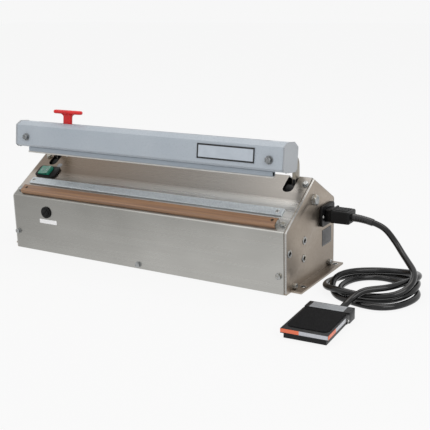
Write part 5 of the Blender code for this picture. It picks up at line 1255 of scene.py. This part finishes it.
def make_floor():
    """A wide pale floor just under the feet. To the camera and in mirrors it mostly glows, so that it
    meets the background without a line."""
    reach, level = 6.0, -0.4 * MM
    mesh = bpy.data.meshes.new("floor")
    mesh.from_pydata([(x * reach, y * reach, level) for x, y in ((-1, -1), (1, -1), (1, 1), (-1, 1))],
                     [], [(0, 1, 2, 3)])
    placed("floor", mesh)
    look, tree, shader, _ = material("pale floor", Base_Color=linear("#f4f4f4"), Roughness=0.9,
                                     Specular_IOR_Level=0.1)
    glow = add(tree, "Emission", {"Color": linear("#f7f7f7"), "Strength": 1.02})
    ray = add(tree, "LightPath")
    seen = worked(tree, "MAXIMUM", (ray, "Is Camera Ray"), (ray, "Is Glossy Ray"))
    share = worked(tree, "MULTIPLY", seen, 0.93)
    both = add(tree, "MixShader", {0: share, 1: (shader, "BSDF"), 2: (glow, "Emission")})
    out = tree.nodes["Material Output"]
    tree.links.new(both.outputs["Shader"], out.inputs["Surface"])
    mesh.materials.append(look)


def make_world():
    """Even light from all round, and the pale background where the camera or a mirror sees it."""
    world_look = bpy.data.worlds.new("studio")
    scene.world = world_look
    world_look.use_nodes = True
    tree = world_look.node_tree
    tree.nodes.clear()
    ray = add(tree, "LightPath")
    seen = worked(tree, "MAXIMUM", (ray, "Is Camera Ray"), (ray, "Is Glossy Ray"))
    seen = worked(tree, "MAXIMUM", seen, (ray, "Is Transmission Ray"))
    light = add(tree, "Background", {"Color": (1, 1, 1, 1), "Strength": 0.62})
    shown = add(tree, "Background", {"Color": linear("#f7f7f7"), "Strength": 1.0})
    mixed = add(tree, "MixShader", {0: seen, 1: (light, "Background"), 2: (shown, "Background")})
    out = add(tree, "OutputWorld")
    tree.links.new(mixed.outputs["Shader"], out.inputs["Surface"])


def stand(thing, across, up, out, place):
    """Stands a light or the camera at a place, its own X, Y and Z along three ways."""
    rows = zip(np.stack([across, up, out], axis=1), place)
    thing.matrix_world = Matrix([[*row, at] for row, at in rows] + [[0, 0, 0, 1]])


def area_light(name, place, aim, width, height, power, tint=(1.0, 1.0, 1.0)):
    """A flat lamp at a place, its own Z pointing away from what it lights."""
    data = bpy.data.lights.new(name, "AREA")
    data.shape = "RECTANGLE"
    data.size = width
    data.size_y = height
    data.energy = power
    data.color = tint
    out = unit(np.array(place, float) - np.array(aim, float))
    across = unit(np.cross((0, 0, 1), out))
    stand(placed(name, data), across, np.cross(out, across), out, place)


def make_camera():
    """The photo's camera, solved from the body's straight edges: 70.8 mm on a 36 mm sensor."""
    yaw, pitch, roll = 0.5540, 0.2713, -0.0272
    ahead = np.array([-math.sin(yaw) * math.cos(pitch), math.cos(yaw) * math.cos(pitch),
                      -math.sin(pitch)])
    level = np.array([math.cos(yaw), math.sin(yaw), 0.0])
    upright = np.cross(level, ahead)
    across = math.cos(roll) * level + math.sin(roll) * upright
    up = -math.sin(roll) * level + math.cos(roll) * upright
    data = bpy.data.cameras.new("camera")
    data.sensor_width = 36.0
    data.lens = 70.78
    data.clip_start = 0.05
    data.clip_end = 50.0
    camera = placed("camera", data)
    stand(camera, across, up, -ahead, (0.6846, -0.9731, 0.3880))
    scene.camera = camera


make_floor()
make_world()
area_light("key", (-0.9, -1.4, 1.7), (0, 0, 0.1), 1.6, 1.2, 6.0)
area_light("fill", (1.6, -0.9, 1.2), (0.1, 0, 0.1), 1.2, 1.2, 13.0)
area_light("top", (0.1, 0.3, 1.9), (0, 0, 0), 1.6, 1.0, 11.0, (1.0, 0.96, 0.92))
make_camera()
scene.view_settings.view_transform = "Standard"
